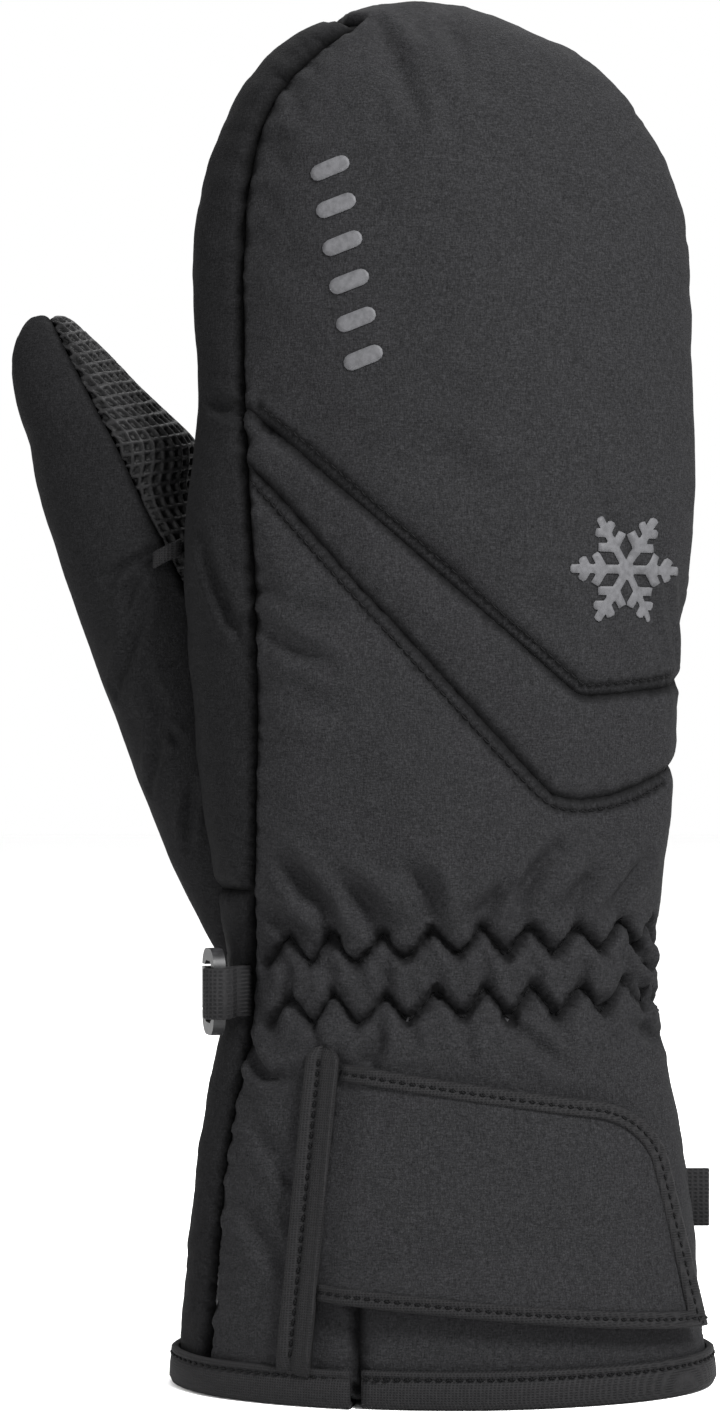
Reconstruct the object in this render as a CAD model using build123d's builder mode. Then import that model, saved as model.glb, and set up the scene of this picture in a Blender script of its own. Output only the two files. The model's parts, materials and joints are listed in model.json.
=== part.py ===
from build123d import *
import math
import os

# A right-hand ski mitten, as an assembly of its textile layers, closure strap, thumb and snap hook.
# Millimetres. The origin is the centre of the cuff opening on the plane of the hem, +Z runs up to the
# fingertips, -Y is the back of the hand, +Y is the palm, and the thumb stands out to -X.

os.makedirs("parts", exist_ok=True)

# ---- Driving dimensions -------------------------------------------------------------------------
FINGERTIP_Z = 276.2  # top of the mitten above the hem
DOME_Z = 210.0  # the fingertip dome starts here
DOME_SHIFT = -5.5  # how far the dome leans towards the index side by its top
BELOW = -6.0  # solids that are cut at the hem start this far down

SHELL = 1.2  # outer fabric
MEMBRANE = 0.4  # waterproof insert
WADDING = 4.2  # insulation over the hand
LINING = 1.4  # fleece
CUFF_WALL = 0.45  # share of the wadding that is left in the cuff
WALL_LOW_Z = 62.0  # the wall starts to thicken here
WALL_FULL_Z = 98.0  # and has its full thickness here

HEM_TOP = 7.5  # height of the hem binding
HEM_TAPE = 1.0
HEM_SEAT = 1.2  # the layers of the cuff start this far above the floor
WRIST_SEAM_Z = 98.0  # palm and gusset end here and the cuff's palm side starts
LINING_SEAM_Z = 70.0  # hand lining meets cuff lining
ELASTIC_Z = (75.0, 92.0)
ELASTIC = 1.2
SIDE_Y = 8.0  # the back panels wrap round the sides as far as this

THUMB_DOME_Z = 192.0
THUMB_TIP_Z = 216.8
THUMB_PIVOT = (-65.0, 18.0, 166.0)
THUMB_PIVOT_R = 21.0
THUMB_GAP = 0.5
THUMB_FLOOR = 3.2  # each layer of the thumb starts this much higher than the one outside it, per mm
THUMB_LEAN = -18.5  # the thumb's dome leans outwards
THUMB_CURL = 7.0  # and curls back a little at the tip
GRIP_EDGE = ((-90.0, 217.0), (-79.5, 214.5), (-55.5, 167.0), (-52.0, 160.0))

PLEAT_X = -17.5  # slit in the front of the cuff, under the strap
PLEAT_W = 2.4
PLEAT_TOP = 30.0
PLEAT_FOLD = 9.0  # half width of the fabric behind the slit
PLEAT_TIP_W = 1.2  # the slit is this wide at its top
PLEAT_T = 0.8

TAPE_T = 2.2  # tape over the root of the strap
LOOP_T = 0.8  # loop patch under the strap
STRAP_FACE = (2.4, 3.4)  # height of each layer of the strap above the shell
STRAP_BACKING = (1.9, 2.4)
STRAP_HOOKS = (1.1, 1.9)
STRAP_BINDING = (1.3, 4.0)
STRAP_TOP_LEFT = (-19.6, 65.6)
STRAP_SHOULDER = (28.0, 58.2)
STRAP_ELBOW = (41.5, 46.0)
STRAP_FOOT = (49.0, 13.0)
STRAP_MIDDLE = (-2.2, 18.3)
STRAP_BOTTOM_LEFT = (-24.8, 20.4)
STRAP_BORDER = 3.2  # width of the binding
STRAP_TUCK = 1.0  # how far the layers of the strap reach into the binding
PRINT_T = 0.25
BAR_COUNT = 6  # slanted bars up the index side
BAR_FOOT = (-16.0, 202.0)
BAR_STEP = (-1.3, 7.4)
BAR_SIZE = (8.0, 3.2)
BAR_TILT = 20.0
FLAKE_CENTRE = (35.0, 161.5)
FLAKE_R = 11.5
FLAKE_LINE = 1.7

EYE = (-44.5, -15.0, 78.8)  # centre of the webbing's eye, where the snap hook hangs
EYE_R = 2.2
WEBBING_T = 0.9
WEBBING_H = 10.0
WEBBING_ROOT = (-36.0, -10.8)  # where the webbing goes into the side seam
HOOK_T = 2.4  # section of the moulded hook
HOOK_LENGTH = 11.0
HOOK_HEIGHT = 17.0
HOOK_HEADING = (-0.25, 0.97, 0.0)  # which way the hook lies
GATE_FOOT = -4.5  # height of the gate's pin above the middle of the hook
GATE_TOP = 4.7
GATE_GAP = 0.5
PIN_R = 0.5
PIN_PLAY = 0.05
TONGUE = 0.6  # thickness of the gate where it stands in its fork
FORK_PLAY = 0.3
LABEL = (9.0, 0.8, 12.0)
LABEL_AT = (49.0, 6.0, 36.0)
LOOP_SIZE = (40.0, 24.0, 4.0)  # width, height and corner radius of the loop patch
LOOP_AT = (21.0, 36.0)
HOOKS_SIZE = (30.0, 20.0, 3.0)
HOOKS_AT = (24.0, 36.0)

# The hand and cuff: height, left and right edge, depth of the back and of the palm side
HAND = (
    (0.0, -53.8, 53.6, 30.0, 30.0),
    (15.0, -52.8, 52.2, 29.4, 29.4),
    (36.0, -50.2, 50.0, 27.6, 27.6),
    (58.0, -47.2, 46.6, 25.4, 25.4),
    (74.0, -45.0, 44.0, 23.2, 23.2),
    (86.0, -44.8, 43.2, 22.4, 22.4),
    (100.0, -46.5, 44.2, 23.6, 23.6),
    (120.0, -49.5, 46.2, 26.4, 26.4),
    (145.0, -51.8, 49.2, 28.4, 28.0),
    (170.0, -51.6, 51.4, 28.6, 28.0),
    (192.0, -50.4, 52.0, 27.4, 27.0),
    (DOME_Z, -50.0, 51.4, 26.0, 25.6),
)
DOME_STEPS = (14.0, 28.0, 42.0, 56.0, 68.0, 79.0)  # degrees round the fingertip dome

# The thumb: height, left and right edge, centre and half depth
THUMB = (
    (78.0, -42.5, -30.0, 4.0, 4.0),
    (88.0, -49.6, -30.0, 8.0, 9.0),
    (100.0, -55.0, -30.0, 11.0, 12.0),
    (114.0, -60.8, -31.0, 13.5, 14.5),
    (132.0, -67.6, -33.5, 16.0, 15.8),
    (150.0, -74.0, -36.5, 17.5, 16.0),
    (168.0, -80.4, -42.5, 18.0, 15.6),
    (181.0, -84.2, -49.0, 18.0, 14.8),
    (THUMB_DOME_Z, -86.6, -52.0, 17.6, 13.8),
)
THUMB_STEPS = (18.0, 34.0, 50.0, 65.0, 78.0)


# ---- Solids of the whole mitten -----------------------------------------------------------------
def wall_share(z):
    """How much of the full wadding there is at height z, from the cuff to the hand."""
    t = min(max((z - WALL_LOW_Z) / (WALL_FULL_Z - WALL_LOW_Z), 0.0), 1.0)
    return CUFF_WALL + (1.0 - CUFF_WALL) * t * t * (3.0 - 2.0 * t)


def hand_solid(inset, wadding=0.0):
    """The hand and cuff, closed at the fingertips, drawn in by inset plus the wadding at each height."""
    full = inset + wadding
    _, dome_left, dome_right, dome_front, dome_back = HAND[-1]
    with BuildPart() as hand:
        first = (BELOW,) + HAND[0][1:]
        for z, left, right, front, back in (first,) + HAND:
            k = inset + wadding * wall_share(z)
            middle = Plane(origin=((left + right) / 2, (back - front) / 2, z))
            with BuildSketch(middle):
                Ellipse((right - left) / 2 - k, (front + back) / 2 - k)
        for angle in DOME_STEPS:
            a = math.radians(angle)
            h = math.sin(a) ** (2 / 3)
            rise = (FINGERTIP_Z - DOME_Z - full) * h
            x = (dome_left + dome_right) / 2 + DOME_SHIFT * h * h
            y = (dome_back - dome_front) / 2
            with BuildSketch(Plane(origin=(x, y, DOME_Z + rise))):
                Ellipse(
                    ((dome_right - dome_left) / 2 - full) * math.cos(a),
                    ((dome_front + dome_back) / 2 - full) * math.cos(a),
                )
        tip = Vertex((dome_left + dome_right) / 2 + DOME_SHIFT, 0, FINGERTIP_Z - full)
        loft(sections=[*hand.pending_faces, tip])
    return hand.part


def thumb_section(z):
    """Left edge, right edge, centre and half depth of the thumb at height z, between its sections."""
    for (z0, *low), (z1, *high) in zip(THUMB, THUMB[1:]):
        if z0 <= z <= z1:
            t = (z - z0) / (z1 - z0)
            return [a + (b - a) * t for a, b in zip(low, high)]
    raise ValueError(f"the thumb has no section at {z}")


def thumb_solid(inset):
    """The thumb as a bent cone that runs down into the side of the hand, drawn in by inset."""
    floor_z = THUMB[0][0] + THUMB_FLOOR * inset
    heights = [floor_z] + [z for z, *_ in THUMB if z > floor_z + THUMB_FLOOR]
    dome_left, dome_right, dome_y, dome_depth = THUMB[-1][1:]
    with BuildPart() as thumb:
        for z in heights:
            left, right, middle, depth = thumb_section(z)
            with BuildSketch(Plane(origin=((left + right) / 2, middle, z))):
                Ellipse((right - left) / 2 - inset, depth - inset)
        for angle in THUMB_STEPS:
            b = math.radians(angle)
            h = math.sin(b) ** 2
            x = (dome_left + dome_right) / 2 + THUMB_LEAN * h + THUMB_CURL * h * h
            rise = (THUMB_TIP_Z - THUMB_DOME_Z - inset) * h
            with BuildSketch(Plane(origin=(x, dome_y, THUMB_DOME_Z + rise))):
                Ellipse(
                    ((dome_right - dome_left) / 2 - inset) * math.cos(b),
                    (dome_depth - inset) * math.cos(b),
                )
        tip_x = (dome_left + dome_right) / 2 + THUMB_LEAN + THUMB_CURL
        loft(sections=[*thumb.pending_faces, Vertex(tip_x, dome_y, THUMB_TIP_Z - inset)])
    return thumb.part


def joined(one, other):
    """Two solids as one."""
    with BuildPart() as both:
        add(one)
        add(other)
    return both.part


def slab(low, high):
    """Everything between two heights."""
    with BuildPart() as block:
        with Locations((0, 0, (low + high) / 2)):
            Box(400, 400, high - low)
    return block.part


def layer(outside, inside, low=HEM_SEAT, high=300.0):
    """What lies between two nested solids, between two heights."""
    with BuildPart() as wall:
        add(outside)
        add(inside, mode=Mode.SUBTRACT)
        add(slab(low, high), mode=Mode.INTERSECT)
    return wall.part


def prism(outline, near=-70.0, far=SIDE_Y):
    """A block with a closed outline of (x, z) points, from depth near to depth far."""
    with BuildPart() as block:
        with BuildSketch(Plane.XZ.offset(-far)):
            with BuildLine():
                Polyline(*outline, close=True)
            make_face()
        extrude(amount=far - near)
    return block.part


def piece(solid, *keep, without=()):
    """The part of a solid that lies in every block of keep and in none of without."""
    with BuildPart() as cut:
        add(solid)
        for block in keep:
            add(block, mode=Mode.INTERSECT)
        for block in without:
            add(block, mode=Mode.SUBTRACT)
    return cut.part


def write(solid, name):
    """Label a finished piece and write it to its STEP file."""
    solid.label = name
    export_step(solid, f"parts/{name}.step")


hand_skin = hand_solid(0)
hand_under_shell = hand_solid(SHELL)
hand_under_membrane = hand_solid(SHELL + MEMBRANE)
hand_under_wadding = hand_solid(SHELL + MEMBRANE, WADDING)
hand_cavity = hand_solid(SHELL + MEMBRANE + LINING, WADDING)
thumb_skin = thumb_solid(0)
thumb_under_shell = thumb_solid(SHELL)
thumb_under_membrane = thumb_solid(SHELL + MEMBRANE)
thumb_under_wadding = thumb_solid(SHELL + MEMBRANE + WADDING)
thumb_cavity = thumb_solid(SHELL + MEMBRANE + WADDING + LINING)
skin = joined(hand_skin, thumb_skin)
under_shell = joined(hand_under_shell, thumb_under_shell)
under_membrane = joined(hand_under_membrane, thumb_under_membrane)
under_wadding = joined(hand_under_wadding, thumb_under_wadding)
cavity = joined(hand_cavity, thumb_cavity)


# ---- Where the thumb bends ----------------------------------------------------------------------
def beyond_pivot(radius):
    """The space of the thumb that swings: above the pivot and further from it than radius."""
    x, y, z = THUMB_PIVOT
    with BuildPart() as space:
        with Locations((x - 20, y, z + 40)):
            Box(80, 90, 80)
        with Locations(Location((x, y, z), (90, 0, 0))):
            Cylinder(radius, 120, mode=Mode.SUBTRACT)
    return space.part


swinging = beyond_pivot(THUMB_PIVOT_R + THUMB_GAP)
fixed_cut = piece(thumb_skin, beyond_pivot(THUMB_PIVOT_R))


# ---- Seams on the back of the hand, as (x, z) points --------------------------------------------
CUFF_SEAM = (
    (-49.0, -10.0),
    (-48.0, 15.0),
    (-44.4, 50.0),
    (-40.2, 69.0),
    (-39.3, 91.0),
    (-38.8, WRIST_SEAM_Z),
)
INDEX_SEAM = (
    (-38.5, 120.0),
    (-38.2, 148.0),
    (-40.4, 180.0),
    (-41.4, 204.0),
    (-41.4, 233.0),
    (-38.0, 250.0),
    (-33.2, 259.0),
    (-22.7, 269.0),
    (-14.0, 290.0),
)
STRIPE_TOP = ((-60.0, 212.0), (-40.2, 193.7), (25.8, 137.0), (46.3, 138.4), (70.0, 147.0))
STRIPE_BOTTOM = ((-60.0, 203.0), (-40.2, 183.2), (20.3, 117.6), (27.7, 116.1), (38.4, 118.2), (70.0, 134.0))

beside_seam = prism(((-120.0, -10.0), *CUFF_SEAM, *INDEX_SEAM, (-120.0, 290.0)))
above_stripe = prism((*STRIPE_TOP, (70.0, 300.0), (-60.0, 300.0)))
under_stripe = prism((*STRIPE_BOTTOM, (70.0, -10.0), (-60.0, -10.0)))
back_half = prism(((-120.0, -10.0), (120.0, -10.0), (120.0, 300.0), (-120.0, 300.0)))
slit = prism(
    (
        (PLEAT_X - PLEAT_W / 2, -10.0),
        (PLEAT_X + PLEAT_W / 2, -10.0),
        (PLEAT_X + PLEAT_TIP_W / 2, PLEAT_TOP),
        (PLEAT_X - PLEAT_TIP_W / 2, PLEAT_TOP),
    ),
    far=-20.0,
)
pleat_space = prism(
    (
        (PLEAT_X - PLEAT_FOLD, -10.0),
        (PLEAT_X + PLEAT_FOLD, -10.0),
        (PLEAT_X + PLEAT_FOLD, PLEAT_TOP + 6),
        (PLEAT_X - PLEAT_FOLD, PLEAT_TOP + 6),
    ),
    far=-15.0,
)

# ---- Outer panels -------------------------------------------------------------------------------
shell = layer(skin, under_shell)
hand_shell = piece(shell, hand_skin)
back_shell = piece(hand_shell, back_half, without=(beside_seam,))

write(piece(back_shell, above_stripe), "back_panel_upper")
write(piece(back_shell, without=(above_stripe, under_stripe)), "back_panel_stripe")
write(piece(back_shell, under_stripe, without=(slit,)), "back_panel_lower")
write(piece(hand_shell, beside_seam, slab(WRIST_SEAM_Z, 300)), "index_gusset")
write(piece(hand_shell, slab(WRIST_SEAM_Z, 300), without=(back_half,)), "palm_panel")
cuff_sides = piece(hand_shell, slab(HEM_SEAT, WRIST_SEAM_Z))
palm_side = joined(piece(cuff_sides, without=(back_half,)), piece(cuff_sides, beside_seam))
write(palm_side, "cuff_palm_panel")
write(piece(shell, without=(hand_skin, fixed_cut)), "thumb_saddle")

# ---- Layers inside the hand and cuff ------------------------------------------------------------
with BuildPart() as wrist_elastic:
    add(layer(hand_under_membrane, hand_solid(SHELL + MEMBRANE + ELASTIC), *ELASTIC_Z))
membrane = layer(under_shell, under_membrane, LINING_SEAM_Z)
write(piece(membrane, without=(fixed_cut,)), "membrane_hand")
wadding = layer(under_membrane, under_wadding, LINING_SEAM_Z)
hand_wadding = piece(wadding, without=(fixed_cut, wrist_elastic.part))
write(piece(hand_wadding, back_half), "back_wadding")
write(piece(hand_wadding, without=(back_half,)), "palm_wadding")
write(wrist_elastic.part, "wrist_elastic")
write(piece(layer(under_wadding, cavity, LINING_SEAM_Z), without=(fixed_cut,)), "hand_lining")

pleat = layer(hand_under_shell, hand_solid(SHELL + PLEAT_T), HEM_SEAT, PLEAT_TOP + 6)
write(piece(pleat, pleat_space), "cuff_pleat")
cuff_wadding = layer(hand_under_shell, hand_under_wadding, HEM_SEAT, LINING_SEAM_Z)
write(piece(cuff_wadding, without=(piece(pleat, pleat_space),)), "cuff_wadding")
write(layer(hand_under_wadding, hand_cavity, HEM_SEAT, LINING_SEAM_Z), "cuff_lining")

# The hem is bound with a tape folded round its edge
hem_outside = hand_solid(-HEM_TAPE)
hem_inside = hand_solid(SHELL + MEMBRANE + LINING + HEM_TAPE, WADDING)
cuff_edge = layer(hand_skin, hand_cavity, HEM_SEAT, 40)
hem = piece(layer(hem_outside, hem_inside, 0, HEM_TOP), without=(cuff_edge, slit))
write(hem, "hem_binding")

# ---- Thumb --------------------------------------------------------------------------------------
with BuildPart() as grip_side:
    with BuildSketch(Plane.XZ.offset(-60)):
        with BuildLine():
            Polyline(*GRIP_EDGE, (20, 160), (20, 240), (-90, 240), close=True)
        make_face()
    extrude(amount=120)
grip_space = grip_side.part

thumb_shell = piece(layer(thumb_skin, thumb_under_shell), swinging)
write(piece(thumb_shell, grip_space), "thumb_grip_panel")
write(piece(thumb_shell, without=(grip_space,)), "thumb_back_panel")
write(piece(layer(thumb_under_shell, thumb_under_membrane), swinging), "thumb_membrane")
write(piece(layer(thumb_under_membrane, thumb_under_wadding), swinging), "thumb_wadding")
write(piece(layer(thumb_under_wadding, thumb_cavity), swinging), "thumb_lining")

# ---- What is sewn and printed on the outside ----------------------------------------------------
def cuff_solid(height):
    """The cuff alone, moved out by height."""
    with BuildPart() as cuff:
        for z, left, right, front, back in ((BELOW,) + HAND[0][1:], *HAND[:8]):
            with BuildSketch(Plane(origin=((left + right) / 2, (back - front) / 2, z))):
                Ellipse((right - left) / 2 + height, (front + back) / 2 + height)
        loft()
    return cuff.part


def drawn(outline, depth=70.0):
    """A block in front of the mitten with the shape of a sketch in X and Z."""
    with BuildPart() as block:
        extrude(outline, amount=depth, dir=(0, -1, 0))
    return block.part


ROOT_TAPE = ((-27.1, 65.0), (-25.4, 68.0), (-22.2, 68.0), (-20.6, 65.0), (-26.3, 9.0), (-32.6, 9.0))
tape_space = prism(ROOT_TAPE, far=-5)
write(piece(cuff_solid(TAPE_T), tape_space, without=(hand_skin,)), "strap_root_tape")

with BuildSketch(Plane.XZ.offset(5)) as loop_outline:
    with Locations(LOOP_AT):
        RectangleRounded(*LOOP_SIZE)
write(piece(cuff_solid(LOOP_T), drawn(loop_outline.sketch), without=(hand_skin,)), "loop_patch")

with BuildSketch(Plane.XZ.offset(5)) as bars:
    for i in range(BAR_COUNT):
        with Locations(Location((BAR_FOOT[0] + BAR_STEP[0] * i, BAR_FOOT[1] + BAR_STEP[1] * i), BAR_TILT)):
            SlotOverall(*BAR_SIZE)
print_skin = hand_solid(-PRINT_T)
write(piece(print_skin, drawn(bars.sketch), without=(hand_skin,)), "transfer_bars")

with BuildSketch(Plane.XZ.offset(5)) as snowflake:
    for arm in range(6):
        with Locations(Location(FLAKE_CENTRE, 60 * arm)):
            with Locations((FLAKE_R / 2, 0)):
                Rectangle(FLAKE_R, FLAKE_LINE)
            for side in (-1, 1):
                for reach, twig in ((0.42, 0.30), (0.70, 0.22)):
                    with Locations(Location((FLAKE_R * reach, 0), 60 * side)):
                        with Locations((FLAKE_R * twig / 2, 0)):
                            Rectangle(FLAKE_R * twig, FLAKE_LINE)
write(piece(print_skin, drawn(snowflake.sketch), without=(hand_skin,)), "transfer_snowflake")

with BuildPart() as side_label:
    with Locations(LABEL_AT):
        Box(*LABEL)
    add(hand_skin, mode=Mode.SUBTRACT)
write(side_label.part, "side_label")

# ---- Closure strap ------------------------------------------------------------------------------
def strap_outline(inset):
    """The strap seen from the front, drawn in by inset."""
    with BuildSketch(Plane.XZ.offset(5)) as outline:
        with BuildLine():
            top = Line(STRAP_TOP_LEFT, STRAP_SHOULDER)
            turn = TangentArc(STRAP_SHOULDER, STRAP_ELBOW, tangent=top % 1)
            Line(turn @ 1, STRAP_FOOT)
            Line(STRAP_FOOT, STRAP_MIDDLE)
            Line(STRAP_MIDDLE, STRAP_BOTTOM_LEFT)
            Line(STRAP_BOTTOM_LEFT, STRAP_TOP_LEFT)
        make_face()
        if inset:
            offset(amount=-inset, kind=Kind.INTERSECTION)
            with BuildLine():
                Polyline(STRAP_TOP_LEFT, (0, 50), (0, 30), STRAP_BOTTOM_LEFT, close=True)  # no border here
            make_face()
    return outline.sketch


strap_inside = drawn(strap_outline(STRAP_BORDER))
strap_layers = drawn(strap_outline(STRAP_TUCK))


def strap_layer(heights, *blocks, without=()):
    """A layer of the strap between two heights above the shell."""
    low, high = heights
    return piece(cuff_solid(high), *blocks, without=(cuff_solid(low), *without))


strap_face = strap_layer(STRAP_FACE, strap_layers)
strap_backing = strap_layer(STRAP_BACKING, strap_layers)
border = strap_layer(STRAP_BINDING, drawn(strap_outline(0)), without=(strap_inside,))
with BuildSketch(Plane.XZ.offset(5)) as hooks_outline:
    with Locations(HOOKS_AT):
        RectangleRounded(*HOOKS_SIZE)
write(strap_face, "strap_face_panel")
write(strap_backing, "strap_backing")
write(piece(border, without=(strap_face, strap_backing)), "strap_binding")
write(strap_layer(STRAP_HOOKS, drawn(hooks_outline.sketch)), "strap_hook_patch")

# ---- Snap hook on its webbing loop --------------------------------------------------------------
ex, ey, ez = EYE
stem = Vector(*WEBBING_ROOT) - Vector(ex, ey)
with BuildPart() as webbing:
    with BuildSketch(Plane.XY.offset(ez - WEBBING_H / 2)):
        with Locations((ex, ey)):
            Circle(EYE_R + WEBBING_T)
            with Locations(Location((0, 0), math.degrees(math.atan2(stem.Y, stem.X)))):
                Rectangle(stem.length, 2 * WEBBING_T, align=(Align.MIN, Align.CENTER))
            Circle(EYE_R, mode=Mode.SUBTRACT)
    extrude(amount=WEBBING_H)
    add(hand_skin, mode=Mode.SUBTRACT)
write(webbing.part, "hook_webbing_loop")

hook_plane = Plane(origin=EYE, x_dir=HOOK_HEADING, z_dir=Vector(*HOOK_HEADING).cross(Vector(0, 0, 1)))
near_s = -HOOK_T / 2
far_s = near_s + HOOK_LENGTH
pin_s = far_s - HOOK_T / 2

with BuildPart() as hook_frame:
    with BuildSketch(hook_plane):
        with Locations(((near_s + far_s) / 2, 0)):
            RectangleRounded(HOOK_LENGTH, HOOK_HEIGHT, 4.0)
            RectangleRounded(HOOK_LENGTH - 2 * HOOK_T, HOOK_HEIGHT - 2 * HOOK_T, 1.8, mode=Mode.SUBTRACT)
        with Locations((pin_s, (GATE_FOOT + GATE_TOP + GATE_GAP) / 2)):
            Rectangle(HOOK_T + 1, GATE_TOP + GATE_GAP - GATE_FOOT, mode=Mode.SUBTRACT)
        with Locations((pin_s, GATE_FOOT)):
            Circle(HOOK_T / 2)
            Circle(PIN_R, mode=Mode.SUBTRACT)
    extrude(amount=HOOK_T / 2, both=True)
    with BuildSketch(hook_plane):
        with Locations((pin_s, GATE_FOOT)):
            Circle(HOOK_T / 2 + GATE_GAP)
    extrude(amount=TONGUE / 2 + FORK_PLAY, both=True, mode=Mode.SUBTRACT)
write(hook_frame.part, "hook_frame")

with BuildPart() as gate_pin:
    with BuildSketch(hook_plane):
        with Locations((pin_s, GATE_FOOT)):
            Circle(PIN_R)
    extrude(amount=HOOK_T / 2, both=True)
write(gate_pin.part, "hook_gate_pin")

with BuildPart() as gate:
    with BuildSketch(hook_plane):
        with Locations((pin_s, (GATE_FOOT + GATE_TOP) / 2)):
            Rectangle(HOOK_T, GATE_TOP - GATE_FOOT)
        with Locations((pin_s, GATE_FOOT)):
            Circle(HOOK_T / 2 + FORK_PLAY, mode=Mode.SUBTRACT)
    extrude(amount=HOOK_T / 2, both=True)
    with BuildSketch(hook_plane):
        with Locations((pin_s, GATE_FOOT)):
            Circle(HOOK_T / 2)
        with Locations((pin_s, GATE_FOOT + HOOK_T / 2 + FORK_PLAY)):
            Rectangle(HOOK_T - 2 * FORK_PLAY, HOOK_T)
        with Locations((pin_s, GATE_FOOT)):
            Circle(PIN_R + PIN_PLAY, mode=Mode.SUBTRACT)
    extrude(amount=TONGUE / 2, both=True)
write(gate.part, "hook_gate")
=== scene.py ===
"""The looks of a right-hand ski mitten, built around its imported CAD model.

Shapes are worked out in millimetres on two tubes, the hand and the thumb, whose sections are measured on
the CAD shells. A place on a tube is (s, t): the distance round from its middle line and along from its
foot. Each tube has a back sheet (side -1, towards -Y) and a palm sheet (side +1).
"""

import json
import math

import bmesh
import bpy
import numpy as np
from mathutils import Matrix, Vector, geometry, kdtree
from mathutils.bvhtree import BVHTree

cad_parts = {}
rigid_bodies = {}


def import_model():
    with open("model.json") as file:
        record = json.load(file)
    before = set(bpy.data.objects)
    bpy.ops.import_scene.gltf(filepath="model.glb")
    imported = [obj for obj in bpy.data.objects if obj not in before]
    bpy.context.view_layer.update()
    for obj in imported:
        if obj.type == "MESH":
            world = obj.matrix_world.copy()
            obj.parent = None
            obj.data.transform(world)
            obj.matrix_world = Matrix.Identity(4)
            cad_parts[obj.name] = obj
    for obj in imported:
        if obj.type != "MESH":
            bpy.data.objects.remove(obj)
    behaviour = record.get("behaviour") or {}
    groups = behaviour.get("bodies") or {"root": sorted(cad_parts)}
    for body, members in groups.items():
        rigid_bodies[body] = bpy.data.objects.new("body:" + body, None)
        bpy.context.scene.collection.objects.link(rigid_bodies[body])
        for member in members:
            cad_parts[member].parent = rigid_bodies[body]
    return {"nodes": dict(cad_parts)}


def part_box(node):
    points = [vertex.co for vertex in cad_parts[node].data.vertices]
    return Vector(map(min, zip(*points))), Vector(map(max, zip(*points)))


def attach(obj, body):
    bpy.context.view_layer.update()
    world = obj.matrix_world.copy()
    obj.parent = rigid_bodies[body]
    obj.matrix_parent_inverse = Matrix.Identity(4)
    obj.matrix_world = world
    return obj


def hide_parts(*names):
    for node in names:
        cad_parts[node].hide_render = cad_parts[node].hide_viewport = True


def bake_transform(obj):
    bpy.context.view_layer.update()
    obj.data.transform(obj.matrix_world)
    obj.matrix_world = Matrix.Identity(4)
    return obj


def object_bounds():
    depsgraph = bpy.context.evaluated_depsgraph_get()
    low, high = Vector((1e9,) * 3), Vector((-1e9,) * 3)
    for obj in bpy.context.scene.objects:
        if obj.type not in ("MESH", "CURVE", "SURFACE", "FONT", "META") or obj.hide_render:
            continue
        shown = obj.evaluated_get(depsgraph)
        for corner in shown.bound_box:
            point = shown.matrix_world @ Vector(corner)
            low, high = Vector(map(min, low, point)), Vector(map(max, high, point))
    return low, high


for leftover in list(bpy.data.objects):
    bpy.data.objects.remove(leftover)
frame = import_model()
cad_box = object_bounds()
MM = 0.001
BACK, PALM = -1, 1

# ---- Driving dimensions, in millimetres ---------------------------------------------------------
CELL = 1.9  # spacing of the simulated cloth's points
PUFF_ROOM = 0.8  # the cloth starts this far inside the CAD surface
SEAM_DEPTH = 1.5
STITCH_DEPTH = 0.75
ZIGZAG_DEPTH = 2.4
THICKNESS = 1.0
SIM_SCALE = 10.0  # the cloth is simulated ten times as large, where Blender's stiffness suits it
FRAMES = 22
THREAD_RADIUS = 0.3


def mesh_tree(*nodes):
    """A search tree over the meshes of some CAD nodes, in millimetres."""
    verts, faces = [], []
    for name in nodes:
        mesh = frame["nodes"][name].data
        start = len(verts)
        verts.extend(v.co / MM for v in mesh.vertices)
        faces.extend([start + i for i in p.vertices] for p in mesh.polygons)
    return BVHTree.FromPolygons(verts, faces)


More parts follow.
